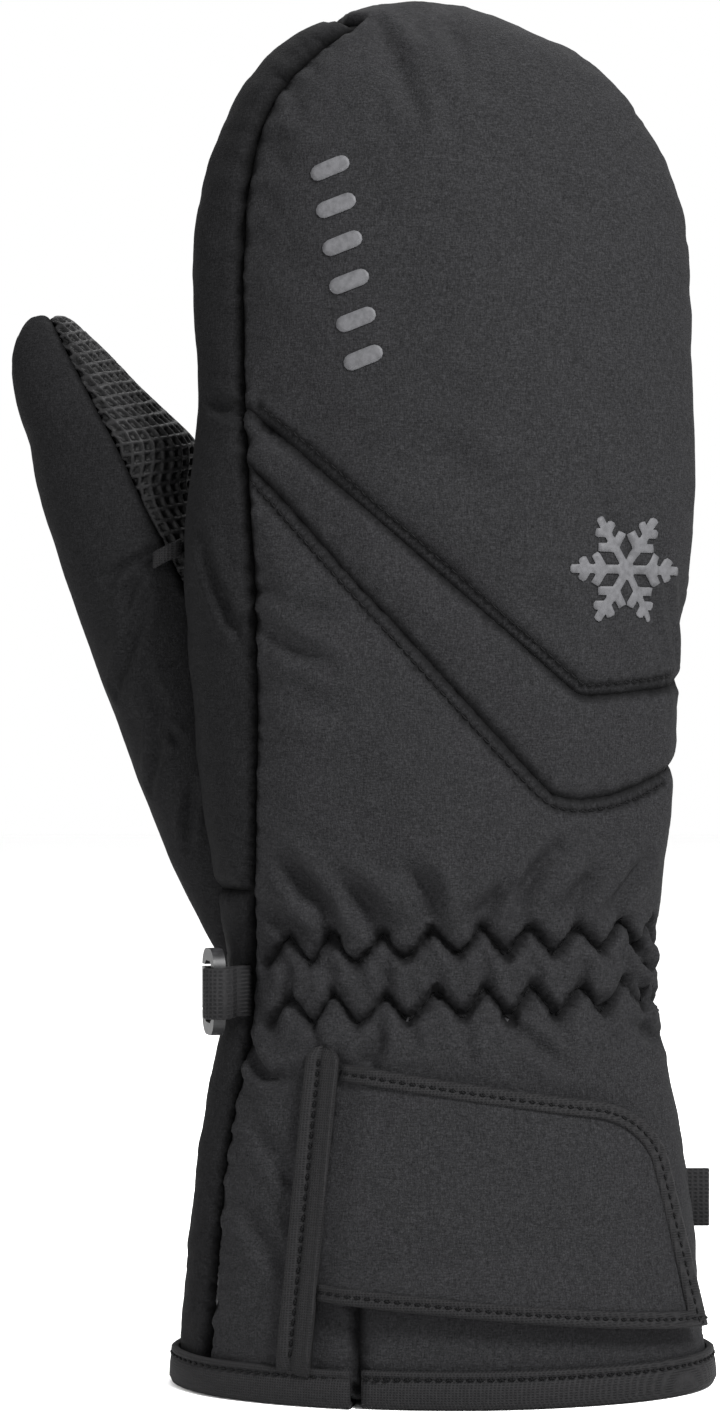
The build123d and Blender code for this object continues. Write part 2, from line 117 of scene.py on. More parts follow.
class Tube:
    """A tube with elliptical sections at each height, measured on CAD shells."""

    def __init__(self, nodes, heights, headings, tip):
        tree = mesh_tree(*nodes)
        rows = [self.section(tree, z, headings(z)) for z in heights]
        rows.append((tip[0], tip[1], 0.0, 0.0))
        self.measure(np.append(heights, tip[2]), *np.array(rows).T)

    def measure(self, z, cx, cy, rx, ry):
        """Works out the lengths along and round the tube from its sections."""
        self.z, self.cx, self.cy, self.rx, self.ry = z, cx, cy, rx, ry
        rise = np.hypot(np.diff(z), np.diff(np.sqrt(rx * ry)))
        self.t = np.concatenate([[0], np.cumsum(rise)])
        self.length = self.t[-1]
        self.quarter = math.pi / 4 * (3 * (rx + ry) - np.sqrt((3 * rx + ry) * (rx + 3 * ry)))
        self.angles = np.radians(np.linspace(0, 90, 91))
        widest = np.argmax(rx)
        stretch = np.hypot(rx[widest] * np.cos(self.angles), ry[widest] * np.sin(self.angles))
        share = np.concatenate([[0], np.cumsum(stretch[1:] + stretch[:-1])])
        self.share = share / share[-1]

    def lengthen(self, root, count):
        """Adds sections below the first one, down to root: its centre, height and half sizes."""
        x, y, z, rx, ry = root
        k = np.linspace(0, 1, count, endpoint=False)
        first = (self.z, self.cx, self.cy, self.rx, self.ry)
        self.measure(*(np.append(a + (b[0] - a) * k, b) for a, b in zip((z, x, y, rx, ry), first)))

    @staticmethod
    def section(tree, z, headings):
        """Fits an axis-aligned ellipse to where rays from outside meet the shells at height z."""
        hits = []
        for target_x, target_y, degrees in headings:
            a = math.radians(degrees)
            out = Vector((math.sin(a), -math.cos(a), 0))
            start = Vector((target_x, target_y, z)) + out * 150
            hit = tree.ray_cast(start, -out)[0]
            if hit is not None:
                hits.append((hit.x, hit.y))
        p = np.array(hits)
        for _ in range(2):
            system = np.stack([p[:, 1] ** 2, p[:, 0], p[:, 1], np.ones(len(p))], 1)
            c, d, e, f = np.linalg.lstsq(system, -p[:, 0] ** 2, rcond=None)[0]
            cx, cy = -d / 2, -e / (2 * c)
            rx = math.sqrt(cx * cx + c * cy * cy - f)
            ry = rx / math.sqrt(c)
            miss = np.abs(np.hypot((p[:, 0] - cx) / rx, (p[:, 1] - cy) / ry) - 1)
            p = p[miss <= np.median(miss) * 3 + 1e-4]
        return cx, cy, rx, ry

    def at(self, t, *rows):
        """Values of the tube's rows at heights t along it."""
        return [np.interp(t, self.t, row) for row in rows]

    def turn(self, st):
        """The angle of each place round its ellipse, from the sheet's middle line."""
        s, t = st[:, 0], st[:, 1]
        quarter = np.maximum(np.interp(t, self.t, self.quarter), 1e-6)
        return np.interp(np.minimum(np.abs(s) / quarter, 1), self.share, self.angles) * np.sign(s)

    def place(self, st, side, lift=0.0):
        """Points of the tube's surface, moved out by lift."""
        turn = self.turn(st)
        cx, cy, z, rx, ry = self.at(st[:, 1], self.cx, self.cy, self.z, self.rx, self.ry)
        points = np.stack([cx + rx * np.sin(turn), cy + side * ry * np.cos(turn), z], 1)
        return points + self.normal(st, side) * np.reshape(lift, (-1, 1))

    def normal(self, st, side):
        """The outward direction at points of the tube's surface."""
        turn = self.turn(st)
        slopes = -np.gradient(np.sqrt(self.rx * self.ry), self.t)
        rx, ry, slope = self.at(st[:, 1], self.rx, self.ry, slopes)
        n = np.stack([ry * np.sin(turn), side * rx * np.cos(turn)], 1)
        n /= np.maximum(np.linalg.norm(n, axis=1, keepdims=True), 1e-9)
        flat = np.sqrt(np.maximum(1 - slope**2, 0.0))[:, None]
        return np.concatenate([n * flat, slope[:, None]], 1)

    def spot(self, xz):
        """The (s, t) of places on a sheet that are given as (x, z)."""
        x, z = np.asarray(xz, float).T
        t = np.interp(z, self.z, self.t)
        cx, rx, quarter = self.at(t, self.cx, self.rx, self.quarter)
        turn = np.arcsin(np.clip((x - cx) / np.maximum(rx, 1e-6), -1, 1))
        share = np.interp(np.abs(turn), self.angles, self.share) * np.sign(turn)
        return np.stack([share * quarter, t], 1)

    def unrolled(self, points):
        """How far points lie along the tube, and round it from its right side (positive on the back)."""
        x, y, z = points.T
        t = np.interp(z, self.z, self.t)
        cx, cy, rx, ry, quarter = self.at(t, self.cx, self.cy, self.rx, self.ry, self.quarter)
        turn = np.arctan2(-(y - cy) / np.maximum(ry, 0.5), (x - cx) / np.maximum(rx, 0.5))
        part = np.interp(np.abs(np.abs(turn) - math.pi / 2), self.angles, self.share)
        quarters = np.where(np.abs(turn) < math.pi / 2, 1 - part, 1 + part)
        return t, np.sign(turn) * quarters * quarter


def resample(points, step):
    """A polyline's points, evenly spaced about step apart."""
    p = np.asarray(points, float)
    run = np.concatenate([[0], np.cumsum(np.linalg.norm(np.diff(p, axis=0), axis=1))])
    k = np.linspace(0, run[-1], max(int(round(run[-1] / step)), 1) + 1)
    return np.stack([np.interp(k, run, p[:, i]) for i in range(p.shape[1])], 1)


def rounded(points, rounds=2):
    """A polyline with its corners cut, evenly, a few times over."""
    p = np.asarray(points, float)
    for _ in range(rounds):
        near, far = p[:-1] * 0.75 + p[1:] * 0.25, p[:-1] * 0.25 + p[1:] * 0.75
        p = np.concatenate([p[:1], np.stack([near, far], 1).reshape(-1, p.shape[1]), p[-1:]])
    return p


def beside(points, distance):
    """A line beside another, to its left by distance."""
    p = np.asarray(points, float)
    d = np.gradient(p, axis=0)
    d /= np.linalg.norm(d, axis=1, keepdims=True)
    return p + np.stack([-d[:, 1], d[:, 0]], 1) * distance


def triangulate(outline, lines, step, seed=4):
    """Fills a closed outline with even triangles whose edges follow every line.

    Returns the points, the triangles and, for each line, the edges along it."""
    verts, edges = [Vector(p) for p in outline], []
    count = len(verts)
    edges.extend((i, (i + 1) % count) for i in range(count))
    first = [len(edges)]
    fixed = [outline]
    for line in lines:
        start = len(verts)
        verts.extend(Vector(p) for p in line)
        edges.extend((start + i, start + i + 1) for i in range(len(line) - 1))
        first.append(len(edges))
        fixed.append(line)
    fixed = np.concatenate(fixed)
    low, high = outline.min(0), outline.max(0)
    rows = np.arange(low[1], high[1], step * 0.866)
    grid = []
    for j, row in enumerate(rows):
        across = np.arange(low[0] + (j % 2) * step / 2, high[0], step)
        grid.append(np.stack([across, np.full(len(across), row)], 1))
    grid = np.concatenate(grid)
    grid += np.random.default_rng(seed).uniform(-0.12, 0.12, grid.shape) * step
    keep = inside(grid, outline)
    for p in fixed:
        keep &= np.abs(grid - p).max(1) > step * 0.55
    verts.extend(Vector(p) for p in grid[keep])
    points, made, faces, _, origin, _ = geometry.delaunay_2d_cdt(verts, edges, [], 1, 0.02)
    along = [
        [made[i] for i, o in enumerate(origin) if any(first[k] <= e < first[k + 1] for e in o)]
        for k in range(len(lines))
    ]
    return np.array([tuple(p) for p in points]), np.array([tuple(f) for f in faces]), along


def inside(points, outline):
    """Which points lie inside a closed outline."""
    x, y = points[:, 0], points[:, 1]
    found = np.zeros(len(points), bool)
    for (x0, y0), (x1, y1) in zip(outline, np.roll(outline, -1, axis=0)):
        if y0 != y1:
            crosses = ((y0 > y) != (y1 > y)) & (x < (x1 - x0) * (y - y0) / (y1 - y0) + x0)
            found ^= crosses
    return found


def linked(name, data):
    """A new object in the scene."""
    made = bpy.data.objects.new(name, data)
    bpy.context.scene.collection.objects.link(made)
    return made


def smoothed(mesh):
    mesh.polygons.foreach_set("use_smooth", [True] * len(mesh.polygons))


def new_piece(name, points, faces, smooth=True):
    """A mesh object from points in millimetres."""
    mesh = bpy.data.meshes.new(name)
    mesh.from_pydata((np.asarray(points) * MM).tolist(), [], [list(map(int, f)) for f in faces])
    mesh.validate()
    if smooth:
        smoothed(mesh)
    return linked(name, mesh)


def point_rows(source, key):
    """One row of three numbers for each point: its "co" or "normal", or an attribute's "vector"."""
    values = np.empty(len(source) * 3)
    source.foreach_get(key, values)
    return values.reshape(-1, 3)


def applied(piece):
    """Turns a piece's modifiers into its mesh."""
    mesh = bpy.data.meshes.new_from_object(piece.evaluated_get(bpy.context.evaluated_depsgraph_get()))
    piece.modifiers.clear()
    piece.data = mesh
    return piece


def ripple(points, wavelength, seed, waves=14):
    """Smooth random heights of about -1 to 1 over points in space."""
    rng = np.random.default_rng(seed)
    total = np.zeros(len(points))
    for _ in range(waves):
        d = rng.normal(size=3)
        d *= 2 * math.pi / (wavelength * rng.uniform(0.7, 1.5)) / np.linalg.norm(d)
        total += np.sin(points @ d + rng.uniform(0, 2 * math.pi))
    return total * math.sqrt(2 / waves) / 1.6


# ---- The two tubes, measured on the CAD shells --------------------------------------------------
HAND_SHELLS = (
    "back_panel_upper", "back_panel_stripe", "back_panel_lower",
    "index_gusset", "palm_panel", "cuff_palm_panel",
)
THUMB_SHELLS = ("thumb_saddle", "thumb_back_panel", "thumb_grip_panel")
TIP_Z = cad_box[1].z / MM
DOME_Z = TIP_Z - 66.2
THUMB_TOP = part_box("thumb_back_panel")[1] / MM
THUMB_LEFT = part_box("thumb_back_panel")[0] / MM
THUMB_DOME_Z = THUMB_TOP.z - 24.8
THUMB_LEAN, THUMB_Y = 0.33, 17.0  # how its middle runs: inwards for each step down, and its depth
FORK_Z = 170  # above this height the thumb stands clear of the hand
THUMB_ROOT = (-37.0, 4.5, 78.0, 5.5, 4.5)  # centre and half sizes where the thumb starts, inside the hand


def hand_headings(_):
    """Rays at the hand from the back and the little finger's side, clear of the thumb."""
    return [(0.0, 0.0, a) for a in range(-64, 176, 8)]


def thumb_headings(z):
    """Rays at the thumb from its free side."""
    middle = THUMB_LEFT.x + 22 + (THUMB_DOME_Z - z) * THUMB_LEAN
    free_side = 60 if z > FORK_Z else -20
    return [(middle, THUMB_Y, a) for a in range(-170, free_side, 7)]


hand_heights = np.concatenate([
    np.arange(1.6, DOME_Z, 4.0),
    DOME_Z + (TIP_Z - DOME_Z) * np.sin(np.radians(np.linspace(0, 86, 34))),
])
hand = Tube(HAND_SHELLS, hand_heights, hand_headings, (-4.8, 0.0, TIP_Z))
thumb_heights = np.concatenate([
    np.arange(104, THUMB_DOME_Z, 4.0),
    THUMB_DOME_Z + (THUMB_TOP.z - THUMB_DOME_Z) * np.sin(np.radians(np.linspace(0, 84, 16))),
])
thumb = Tube(THUMB_SHELLS, thumb_heights, thumb_headings, (-80.8, 17.6, THUMB_TOP.z))
thumb.lengthen(THUMB_ROOT, 4)


def sheet_border(tube, step, foot):
    """The right-hand border of a sheet, from its foot to the tip."""
    t = np.linspace(0, tube.length, int(tube.length / step) + 1)
    t = np.append(foot, t[t > foot + step / 2])
    return np.stack([np.interp(t, tube.t, tube.quarter), t], 1)


# ---- Seams of the hand, as (x, z) on the back sheet ---------------------------------------------
WRIST_SEAM_Z = 98.0
PALM_SEAM_Y = 8.0
SHELL_FOOT = 1.0  # the cloth starts this far up the tube, inside the hem tape
PLEAT_X, PLEAT_TOP = -17.5, 26.0  # the pleat in the front of the cuff
INDEX_SEAM = (
    (-48.6, 0.0), (-48.0, 15.0), (-44.4, 50.0), (-40.2, 69.0), (-39.3, 91.0), (-38.5, 120.0),
    (-38.2, 148.0), (-40.4, 180.0), (-41.4, 204.0), (-41.4, 233.0), (-38.6, 248.0), (-33.6, 258.0),
    (-27.0, 265.0), (-20.5, 270.3), (-16.0, 273.2),
)
STRIPE_TOP = ((-41.5, 194.9), (25.4, 137.2), (28.0, 136.6), (46.3, 138.4), (49.6, 140.4))
STRIPE_BOTTOM = ((-41.1, 184.0), (19.6, 118.2), (22.6, 116.8), (28.5, 116.2), (38.4, 118.4), (46.8, 123.0))
TOPSTITCH = 2.1
ZIGZAG_STEP = 4.9
ZIGZAG_HEIGHT = 5.8
ZIGZAG_ROWS = ((86.6, 90.6), (75.2, 79.0))  # height of each row at the index side and at the far side


def zigzag(z_left, z_right, side):
    """A row of zigzag stitching round the wrist, on one sheet."""
    t_left, t_right = np.interp((z_left, z_right), hand.z, hand.t)
    quarter = np.interp(t_left, hand.t, hand.quarter)
    start = -36.5 if side == BACK else 1.2 - quarter
    quarter -= 1.2
    count = int(round((quarter - start) / ZIGZAG_STEP / 2)) * 2
    s = np.linspace(start, quarter, count + 1)
    swing = np.where(np.arange(count + 1) % 2, 0.5, -0.5)
    wobble = np.random.default_rng(8 + side).uniform(-0.6, 0.6, (2, count + 1))
    wobble[:, [0, -1]] = 0
    rise = (s + quarter) / quarter / 2
    t = t_left + (t_right - t_left) * (rise if side == BACK else rise[::-1]) + swing * ZIGZAG_HEIGHT
    return np.stack([s + wobble[0], t + wobble[1]], 1)


def palm_seam():
    """The seam round the palm, where the surface is PALM_SEAM_Y from the middle plane."""
    reach = hand.ry + hand.cy > PALM_SEAM_Y
    t = resample(hand.t[reach][:, None], 2.0)[:, 0]
    ry, cy = np.interp(t, hand.t, hand.ry), np.interp(t, hand.t, hand.cy)
    turn = np.arccos(np.clip((PALM_SEAM_Y - cy) / ry, 0, 1))
    s = np.interp(turn, hand.angles, hand.share) * np.interp(t, hand.t, hand.quarter)
    right = np.stack([s, t], 1)
    return np.concatenate([right, right[::-1] * (-1, 1)])


class Seam:
    """A line on a sheet: what it is, and how deep the cloth is drawn in along it."""

    def __init__(self, kind, side, points, depth):
        self.kind, self.side, self.depth = kind, side, depth
        self.points = np.asarray(points, float)


def on_sheet(xz, curved=True):
    return hand.spot(resample(rounded(xz) if curved else xz, 1.5))


def border_point(t, sign=1):
    """The corner of a sheet's border that is nearest to t, on its right or left side."""
    corners = sheet_border(hand, CELL, SHELL_FOOT)
    nearest = corners[np.argmin(np.abs(corners[:, 1] - t))]
    return nearest * (sign, 1)


def palm_seam_at(t):
    """How far from the middle the palm seam is at height t."""
    half = around_palm[:len(around_palm) // 2]
    return float(np.interp(t, half[:, 1], half[:, 0]))


def far_side(line):
    """Carries a line of the back sheet over the little finger's side, just past the palm seam."""
    end = line[-1]
    return np.array([end, (palm_seam_at(end[1] + 1.5) - OVERRUN, end[1] + 1.5)])


def to_border(line, sign=1):
    """Ends a line of the back sheet on a corner of the sheet's border."""
    return np.concatenate([line[:-1], [border_point(line[-1, 1], sign)]])


OVERRUN = 0.3  # a line that ends on another runs this far past it
around_palm = palm_seam()
palm_top = around_palm[len(around_palm) // 2]
stripe_top, stripe_bottom = to_border(on_sheet(STRIPE_TOP)), to_border(on_sheet(STRIPE_BOTTOM))
index_line = to_border(on_sheet(INDEX_SEAM), -1)
wrist_corner = border_point(np.interp(WRIST_SEAM_Z, hand.z, hand.t), -1)
seam_t = wrist_corner[1]
index_s = float(np.interp(seam_t, index_line[:, 1], index_line[:, 0]))
seams = [
    Seam("index", BACK, index_line, SEAM_DEPTH * 1.5),
    Seam("stripe_top", BACK, stripe_top, SEAM_DEPTH * 0.8),
    Seam("stripe_bottom", BACK, stripe_bottom, SEAM_DEPTH * 0.8),
    Seam("topstitch", BACK, beside(stripe_top, TOPSTITCH)[3:-2], STITCH_DEPTH),
    Seam("topstitch", BACK, beside(stripe_bottom, -TOPSTITCH)[3:-2], STITCH_DEPTH),
    Seam("cuff", BACK, [wrist_corner, (index_s + OVERRUN, seam_t)], SEAM_DEPTH),
    Seam("palm", PALM, around_palm, SEAM_DEPTH),
    Seam("index", PALM, [index_line[-1], palm_top + (OVERRUN, -OVERRUN)], SEAM_DEPTH * 0.5),
    Seam("cuff", PALM, [wrist_corner, (palm_seam_at(seam_t) + OVERRUN, seam_t)], SEAM_DEPTH),
    Seam("stripe_top", PALM, far_side(stripe_top), SEAM_DEPTH * 0.8),
    Seam("stripe_bottom", PALM, far_side(stripe_bottom), SEAM_DEPTH * 0.8),
    Seam("pleat", BACK, hand.spot([(PLEAT_X, SHELL_FOOT + 3), (PLEAT_X, PLEAT_TOP)]), 2.6),
]
for row in ZIGZAG_ROWS:
    for side in (BACK, PALM):
        seams.append(Seam("zigzag", side, zigzag(*row, side), ZIGZAG_DEPTH))


# ---- The cloth of the hand ----------------------------------------------------------------------
def sheet_outline(tube, step, foot):
    """The whole border of one sheet: along its foot, up its right side and down its left."""
    right = sheet_border(tube, step, foot)
    low = resample([right[0] * (-1, 1), right[0]], step)
    return np.concatenate([low[:-1], right, (right * (-1, 1))[::-1][1:-1]])


def cloth_mesh(tube, seams, foot, step):
    """One closed triangle mesh of both sheets, with (s, t), side and seam depth at each point."""
    parts, faces, marks, count = [], [], [], 0
    for side in (BACK, PALM):
        mine = [seam for seam in seams if seam.side == side]
        lines = [resample(seam.points, step * 0.8) for seam in mine]
        st, tris, along = triangulate(sheet_outline(tube, step, foot), lines, step)
        depth = np.zeros(len(st))
        for seam, edges in zip(mine, along):
            ends = np.unique(np.array(edges, int).ravel())
            depth[ends] = np.maximum(depth[ends], seam.depth)
            marks.extend((seam.kind, int(a) + count, int(b) + count) for a, b in edges)
        parts.append(np.column_stack([st, np.full(len(st), side), depth]))
        faces.append((tris if side == BACK else tris[:, ::-1]) + count)
        count += len(st)
    return np.concatenate(parts), np.concatenate(faces), marks


def weld(points, faces):
    """Joins points that lie together: the points to keep, each point's new number, and the faces."""
    key = np.round(points / 0.04).astype(np.int64)
    _, first, new = np.unique(key, axis=0, return_index=True, return_inverse=True)
    new = new.ravel()
    faces = new[faces]
    a, b, c = faces.T
    return first, new, faces[(a != b) & (b != c) & (c != a)]


def simulate(points, faces, held, rest, pressure):
    """Blows cloth up over its held points, towards its larger cut shape, and gives the new points."""
    piece = new_piece("cloth", points * SIM_SCALE, faces)
    group = piece.vertex_groups.new(name="held")
    for i in np.nonzero(held > 0)[0]:
        group.add([int(i)], float(held[i]), "REPLACE")
    piece.shape_key_add(name="Basis")
    cut = piece.shape_key_add(name="cut")
    cut.data.foreach_set("co", (rest * SIM_SCALE * MM).ravel())
    cloth = piece.modifiers.new("cloth", "CLOTH")
    settings = cloth.settings
    settings.quality = 5
    settings.mass = 0.15
    settings.tension_stiffness = settings.compression_stiffness = 12
    settings.shear_stiffness = 4
    settings.bending_stiffness = 0.5
    settings.tension_damping = settings.compression_damping = settings.shear_damping = 4
    settings.air_damping = 2
    settings.use_pressure = True
    settings.uniform_pressure_force = pressure
    settings.vertex_group_mass = "held"
    settings.rest_shape_key = cut
    settings.effector_weights.gravity = 0
    cloth.collision_settings.use_collision = False
    cloth.point_cache.frame_end = FRAMES + 1
    for f in range(1, FRAMES + 1):
        bpy.context.scene.frame_set(f)
    mesh = piece.evaluated_get(bpy.context.evaluated_depsgraph_get()).to_mesh()
    moved = point_rows(mesh.vertices, "co") / SIM_SCALE / MM
    bpy.context.scene.frame_set(1)
    bpy.data.objects.remove(piece)
    return moved


def smooth_step(x, low, high):
    k = np.clip((x - low) / (high - low), 0, 1)
    return k * k * (3 - 2 * k)


STRAP_ZONE = (-30.0, 50.0, 70.0)  # left, right and top of the cuff's front that lies flat under the strap
MOST_OUT, MOST_IN, MOST_SLIDE = 2.6, 3.2, 2.5  # how far the blown cloth may leave the CAD surface


class Cloth:
    """A tube's two sheets, sewn along their seams and blown up."""

    def __init__(self, name, tube, seams, foot, cell):
        self.name, self.tube = name, tube
        rows, faces, marks = cloth_mesh(tube, seams, foot, cell)
        surface = tube.place(rows[:, :2], rows[:, 2])
        outward = tube.normal(rows[:, :2], rows[:, 2])
        first, new, self.faces = weld(surface, faces)
        self.depth = np.zeros(len(first))
        np.maximum.at(self.depth, new, rows[:, 3])
        self.surface, self.outward, self.t = surface[first], outward[first], rows[first, 1]
        self.marks = {tuple(sorted((int(new[a]), int(new[b])))): kind for kind, a, b in marks}

    def blow(self, held, fuller, pressure, flat):
        """Simulates the cloth. It is cut fuller than its place, and flat keeps it down."""
        places = self.surface - self.outward * (PUFF_ROOM + self.depth)[:, None]
        middle = np.stack([np.interp(self.t, self.tube.t, c) for c in (self.tube.cx, self.tube.cy)], 1)
        cut = places.copy()
        cut[:, :2] = middle + (places[:, :2] - middle) * fuller[:, None]
        cut[:, 2] *= 1.035
        moved = simulate(places, self.faces, np.where(self.depth > 0, 1.0, held), cut, pressure)
        shift = moved - self.surface
        out = (shift * self.outward).sum(1)
        slide = shift - self.outward * out[:, None]
        slide *= np.minimum(1, MOST_SLIDE / np.maximum(np.linalg.norm(slide, axis=1), 1e-6))[:, None]
        highest = np.where(flat > 0, (1 - flat) * MOST_OUT - 0.25, MOST_OUT)
        out = np.clip(out, -MOST_IN - self.depth, highest)
        self.moved = self.surface + slide + self.outward * out[:, None]

    def divide(self, seeds, rest_of_it, walls):
        """Numbers each face with its panel: the one whose seed lies inside the same seams."""
        patch = flood(self.faces, {edge for edge, kind in self.marks.items() if kind in walls})
        middles = self.surface[self.faces].mean(1)
        self.panel = np.full(len(self.faces), list(seeds).index(rest_of_it))
        for i, places in enumerate(seeds.values()):
            for place in places:
                self.panel[patch == patch[np.argmin(np.linalg.norm(middles - place, axis=1))]] = i

    def refine(self, sharpness):
        """Makes the cloth's object, one subdivision finer, and reads its points back."""
        self.piece = new_piece(self.name, self.moved, self.faces)
        mesh = self.piece.data
        mesh.attributes.new("rest", "FLOAT_VECTOR", "POINT").data.foreach_set("vector", self.surface.ravel())
        mesh.attributes.new("panel", "INT", "FACE").data.foreach_set("value", self.panel.astype(np.int32))
        crease = mesh.attributes.new("crease_edge", "FLOAT", "EDGE")
        kinds = [self.marks.get(tuple(sorted(e.vertices))) for e in mesh.edges]
        crease.data.foreach_set("value", [sharpness.get(kind, 0.0) for kind in kinds])
        self.piece.modifiers.new("fine", "SUBSURF").levels = 1
        applied(self.piece)
        mesh = self.piece.data
        self.rest = point_rows(mesh.attributes["rest"].data, "vector")
        self.normals = point_rows(mesh.vertices, "normal")
        self.points = point_rows(mesh.vertices, "co") / MM
        # painted shade: how much the colour is darkened at each point, along seams and in the grip's hollows
        self.painted_shade = np.zeros(len(self.points))

    def darken(self, line, width):
        """Marks the points in the groove of a sewn line, where painted shade darkens the cloth's colour."""
        close = near_line(self.rest, line, 4 * width)
        if close.any():
            away = nearest_on(self.rest[close], line)[0]
            self.painted_shade[close] = np.maximum(self.painted_shade[close], np.exp(-((away / width) ** 2)))

    def raise_by(self, heights):
        self.points += self.normals * heights[:, None]

    def fold_back(self, folds):
        """Adds soft valleys to the back sheet: the (x, z) points, depth and width of each."""
        for points, depth, width in folds:
            line = self.tube.place(self.tube.spot(resample(rounded(points), 1.0)), BACK)
            self.raise_by(fold(self.rest, line, depth * FOLD_GAIN, width))

    def settle(self):
        """Writes the points back into the mesh and builds a search tree over it."""
        self.piece.data.vertices.foreach_set("co", (self.points * MM).ravel())
        # the painted shade goes to the materials as a point attribute
        self.piece.data.attributes.new("painted_shade", "FLOAT", "POINT").data.foreach_set("value", self.painted_shade)
        self.tree = BVHTree.FromPolygons(
            [Vector(p) for p in self.points], [tuple(p.vertices) for p in self.piece.data.polygons]
        )

    def on_top(self, st, side, lift=0.0):
        """Points on the finished cloth over places on a sheet, and the way out at each."""
        starts = self.tube.place(st, side, 9.0)
        ways = self.tube.normal(st, side)
        found = []
        for start, way in zip(starts, ways):
            hit = self.tree.ray_cast(Vector(start), -Vector(way), 20.0)[0]
            found.append(tuple(hit) if hit is not None else tuple(start - 9.0 * way))
        return np.array(found) + ways * np.reshape(lift, (-1, 1)), ways

    def cut_out(self, names):
        """Cuts the cloth into its panels."""
        number = np.empty(len(self.piece.data.polygons), np.int32)
        self.piece.data.attributes["panel"].data.foreach_get("value", number)
        made = {}
        for i, name in enumerate(names):
            bm = bmesh.new()
            bm.from_mesh(self.piece.data)
            bm.faces.ensure_lookup_table()
            bmesh.ops.delete(bm, geom=[bm.faces[int(k)] for k in np.nonzero(number != i)[0]], context="FACES")
            mesh = bpy.data.meshes.new(name)
            bm.to_mesh(mesh)
            bm.free()
            made[name] = linked(name, mesh)
        bpy.data.objects.remove(self.piece)
        return made


def flood(faces, walls):
    """Numbers the patches of faces that the walls keep apart."""
    beside_edge = {}
    for i, (a, b, c) in enumerate(faces.tolist()):
        for edge in ((a, b), (b, c), (c, a)):
            beside_edge.setdefault(tuple(sorted(edge)), []).append(i)
    neighbours = [[] for _ in faces]
    for edge, both in beside_edge.items():
        if len(both) == 2 and edge not in walls:
            neighbours[both[0]].append(both[1])
            neighbours[both[1]].append(both[0])
    patch = np.full(len(faces), -1)
    count = 0
    for start in range(len(faces)):
        if patch[start] < 0:
            patch[start] = count
            stack = [start]
            while stack:
                for n in neighbours[stack.pop()]:
                    if patch[n] < 0:
                        patch[n] = count
                        stack.append(n)
            count += 1
    return patch


def thicken(piece, thickness=THICKNESS):
    """Gives a sheet its thickness, on its inner side."""
    thick = piece.modifiers.new("thick", "SOLIDIFY")
    thick.thickness = thickness * MM
    thick.offset = -1
    smoothed(applied(piece).data)
    return piece


def nearest_on(points, line):
    """How far points are from a polyline's points, and how far along it that is."""
    tree = kdtree.KDTree(len(line))
    for i, p in enumerate(line):
        tree.insert(Vector(p), i)
    tree.balance()
    found = [tree.find(Vector(p)) for p in points]
    run = np.concatenate([[0], np.cumsum(np.linalg.norm(np.diff(line, axis=0), axis=1))])
    return np.array([f[2] for f in found]), run[[f[1] for f in found]]


def near_line(rest, line, reach):
    """Which points lie in the box round a line."""
    return ((rest > line.min(0) - reach) & (rest < line.max(0) + reach)).all(1)


def pucker(rest, line, height, wave, reach, seed):
    """Heights of the small folds that run away from a sewn line."""
    heights = np.zeros(len(rest))
    close = near_line(rest, line, 3 * reach)
    if not close.any():
        return heights
    away, along = nearest_on(rest[close], line)
    knots = np.arange(0, along.max() + 12, 6.0)
    phase = np.interp(along, knots, np.random.default_rng(seed).uniform(0, 6.0, len(knots)))
    strength = 0.55 + 0.45 * np.sin(along / 17.0 + seed)
    fold = np.sin(2 * math.pi * along / wave + phase) * strength
    heights[close] = height * fold * np.exp(-away / reach) * (1 - np.exp(-away / 0.8))
    return heights


def fold(rest, line, depth, width):
    """Heights of one soft valley along a line, with a low ridge on each side."""
    heights = np.zeros(len(rest))
    close = near_line(rest, line, 4 * width)
    if not close.any():
        return heights
    away, along = nearest_on(rest[close], line)
    ends = np.sqrt(np.clip(np.sin(math.pi * np.clip(along / max(along.max(), 1), 0.04, 0.96)), 0, 1))
    valley = np.exp(-((away / width) ** 2))
    ridge = np.exp(-(((away - 2.1 * width) / width) ** 2))
    heights[close] = depth * ends * (0.4 * ridge - valley)
    return heights


# ---- The hand's cloth ---------------------------------------------------------------------------
HAND_PANELS = {
    "back_upper": [(0.0, -27.0, 215.0)],
    "back_stripe": [(0.0, -27.0, 150.0)],
    "back_lower": [(0.0, -26.0, 108.0)],
    "index_gusset_skin": [(-46.0, -10.0, 150.0)],
    "palm_skin": [(0.0, 27.0, 150.0)],
    "cuff_palm_skin": [(0.0, 28.0, 45.0), (-49.0, -5.0, 45.0)],
}
SHARPNESS = {
    "index": 1.0, "palm": 1.0, "cuff": 1.0, "stripe_top": 1.0, "stripe_bottom": 1.0, "grip": 1.0,
    "pleat": 0.9, "topstitch": 0.75, "zigzag": 0.85,
}
PUCKERS = {  # height and wavelength of the small folds along each kind of seam
    "zigzag": (0.38, 4.6), "topstitch": (0.12, 3.4), "index": (0.45, 6.0), "palm": (0.4, 6.0),
}
FOLD_GAIN = 1.35
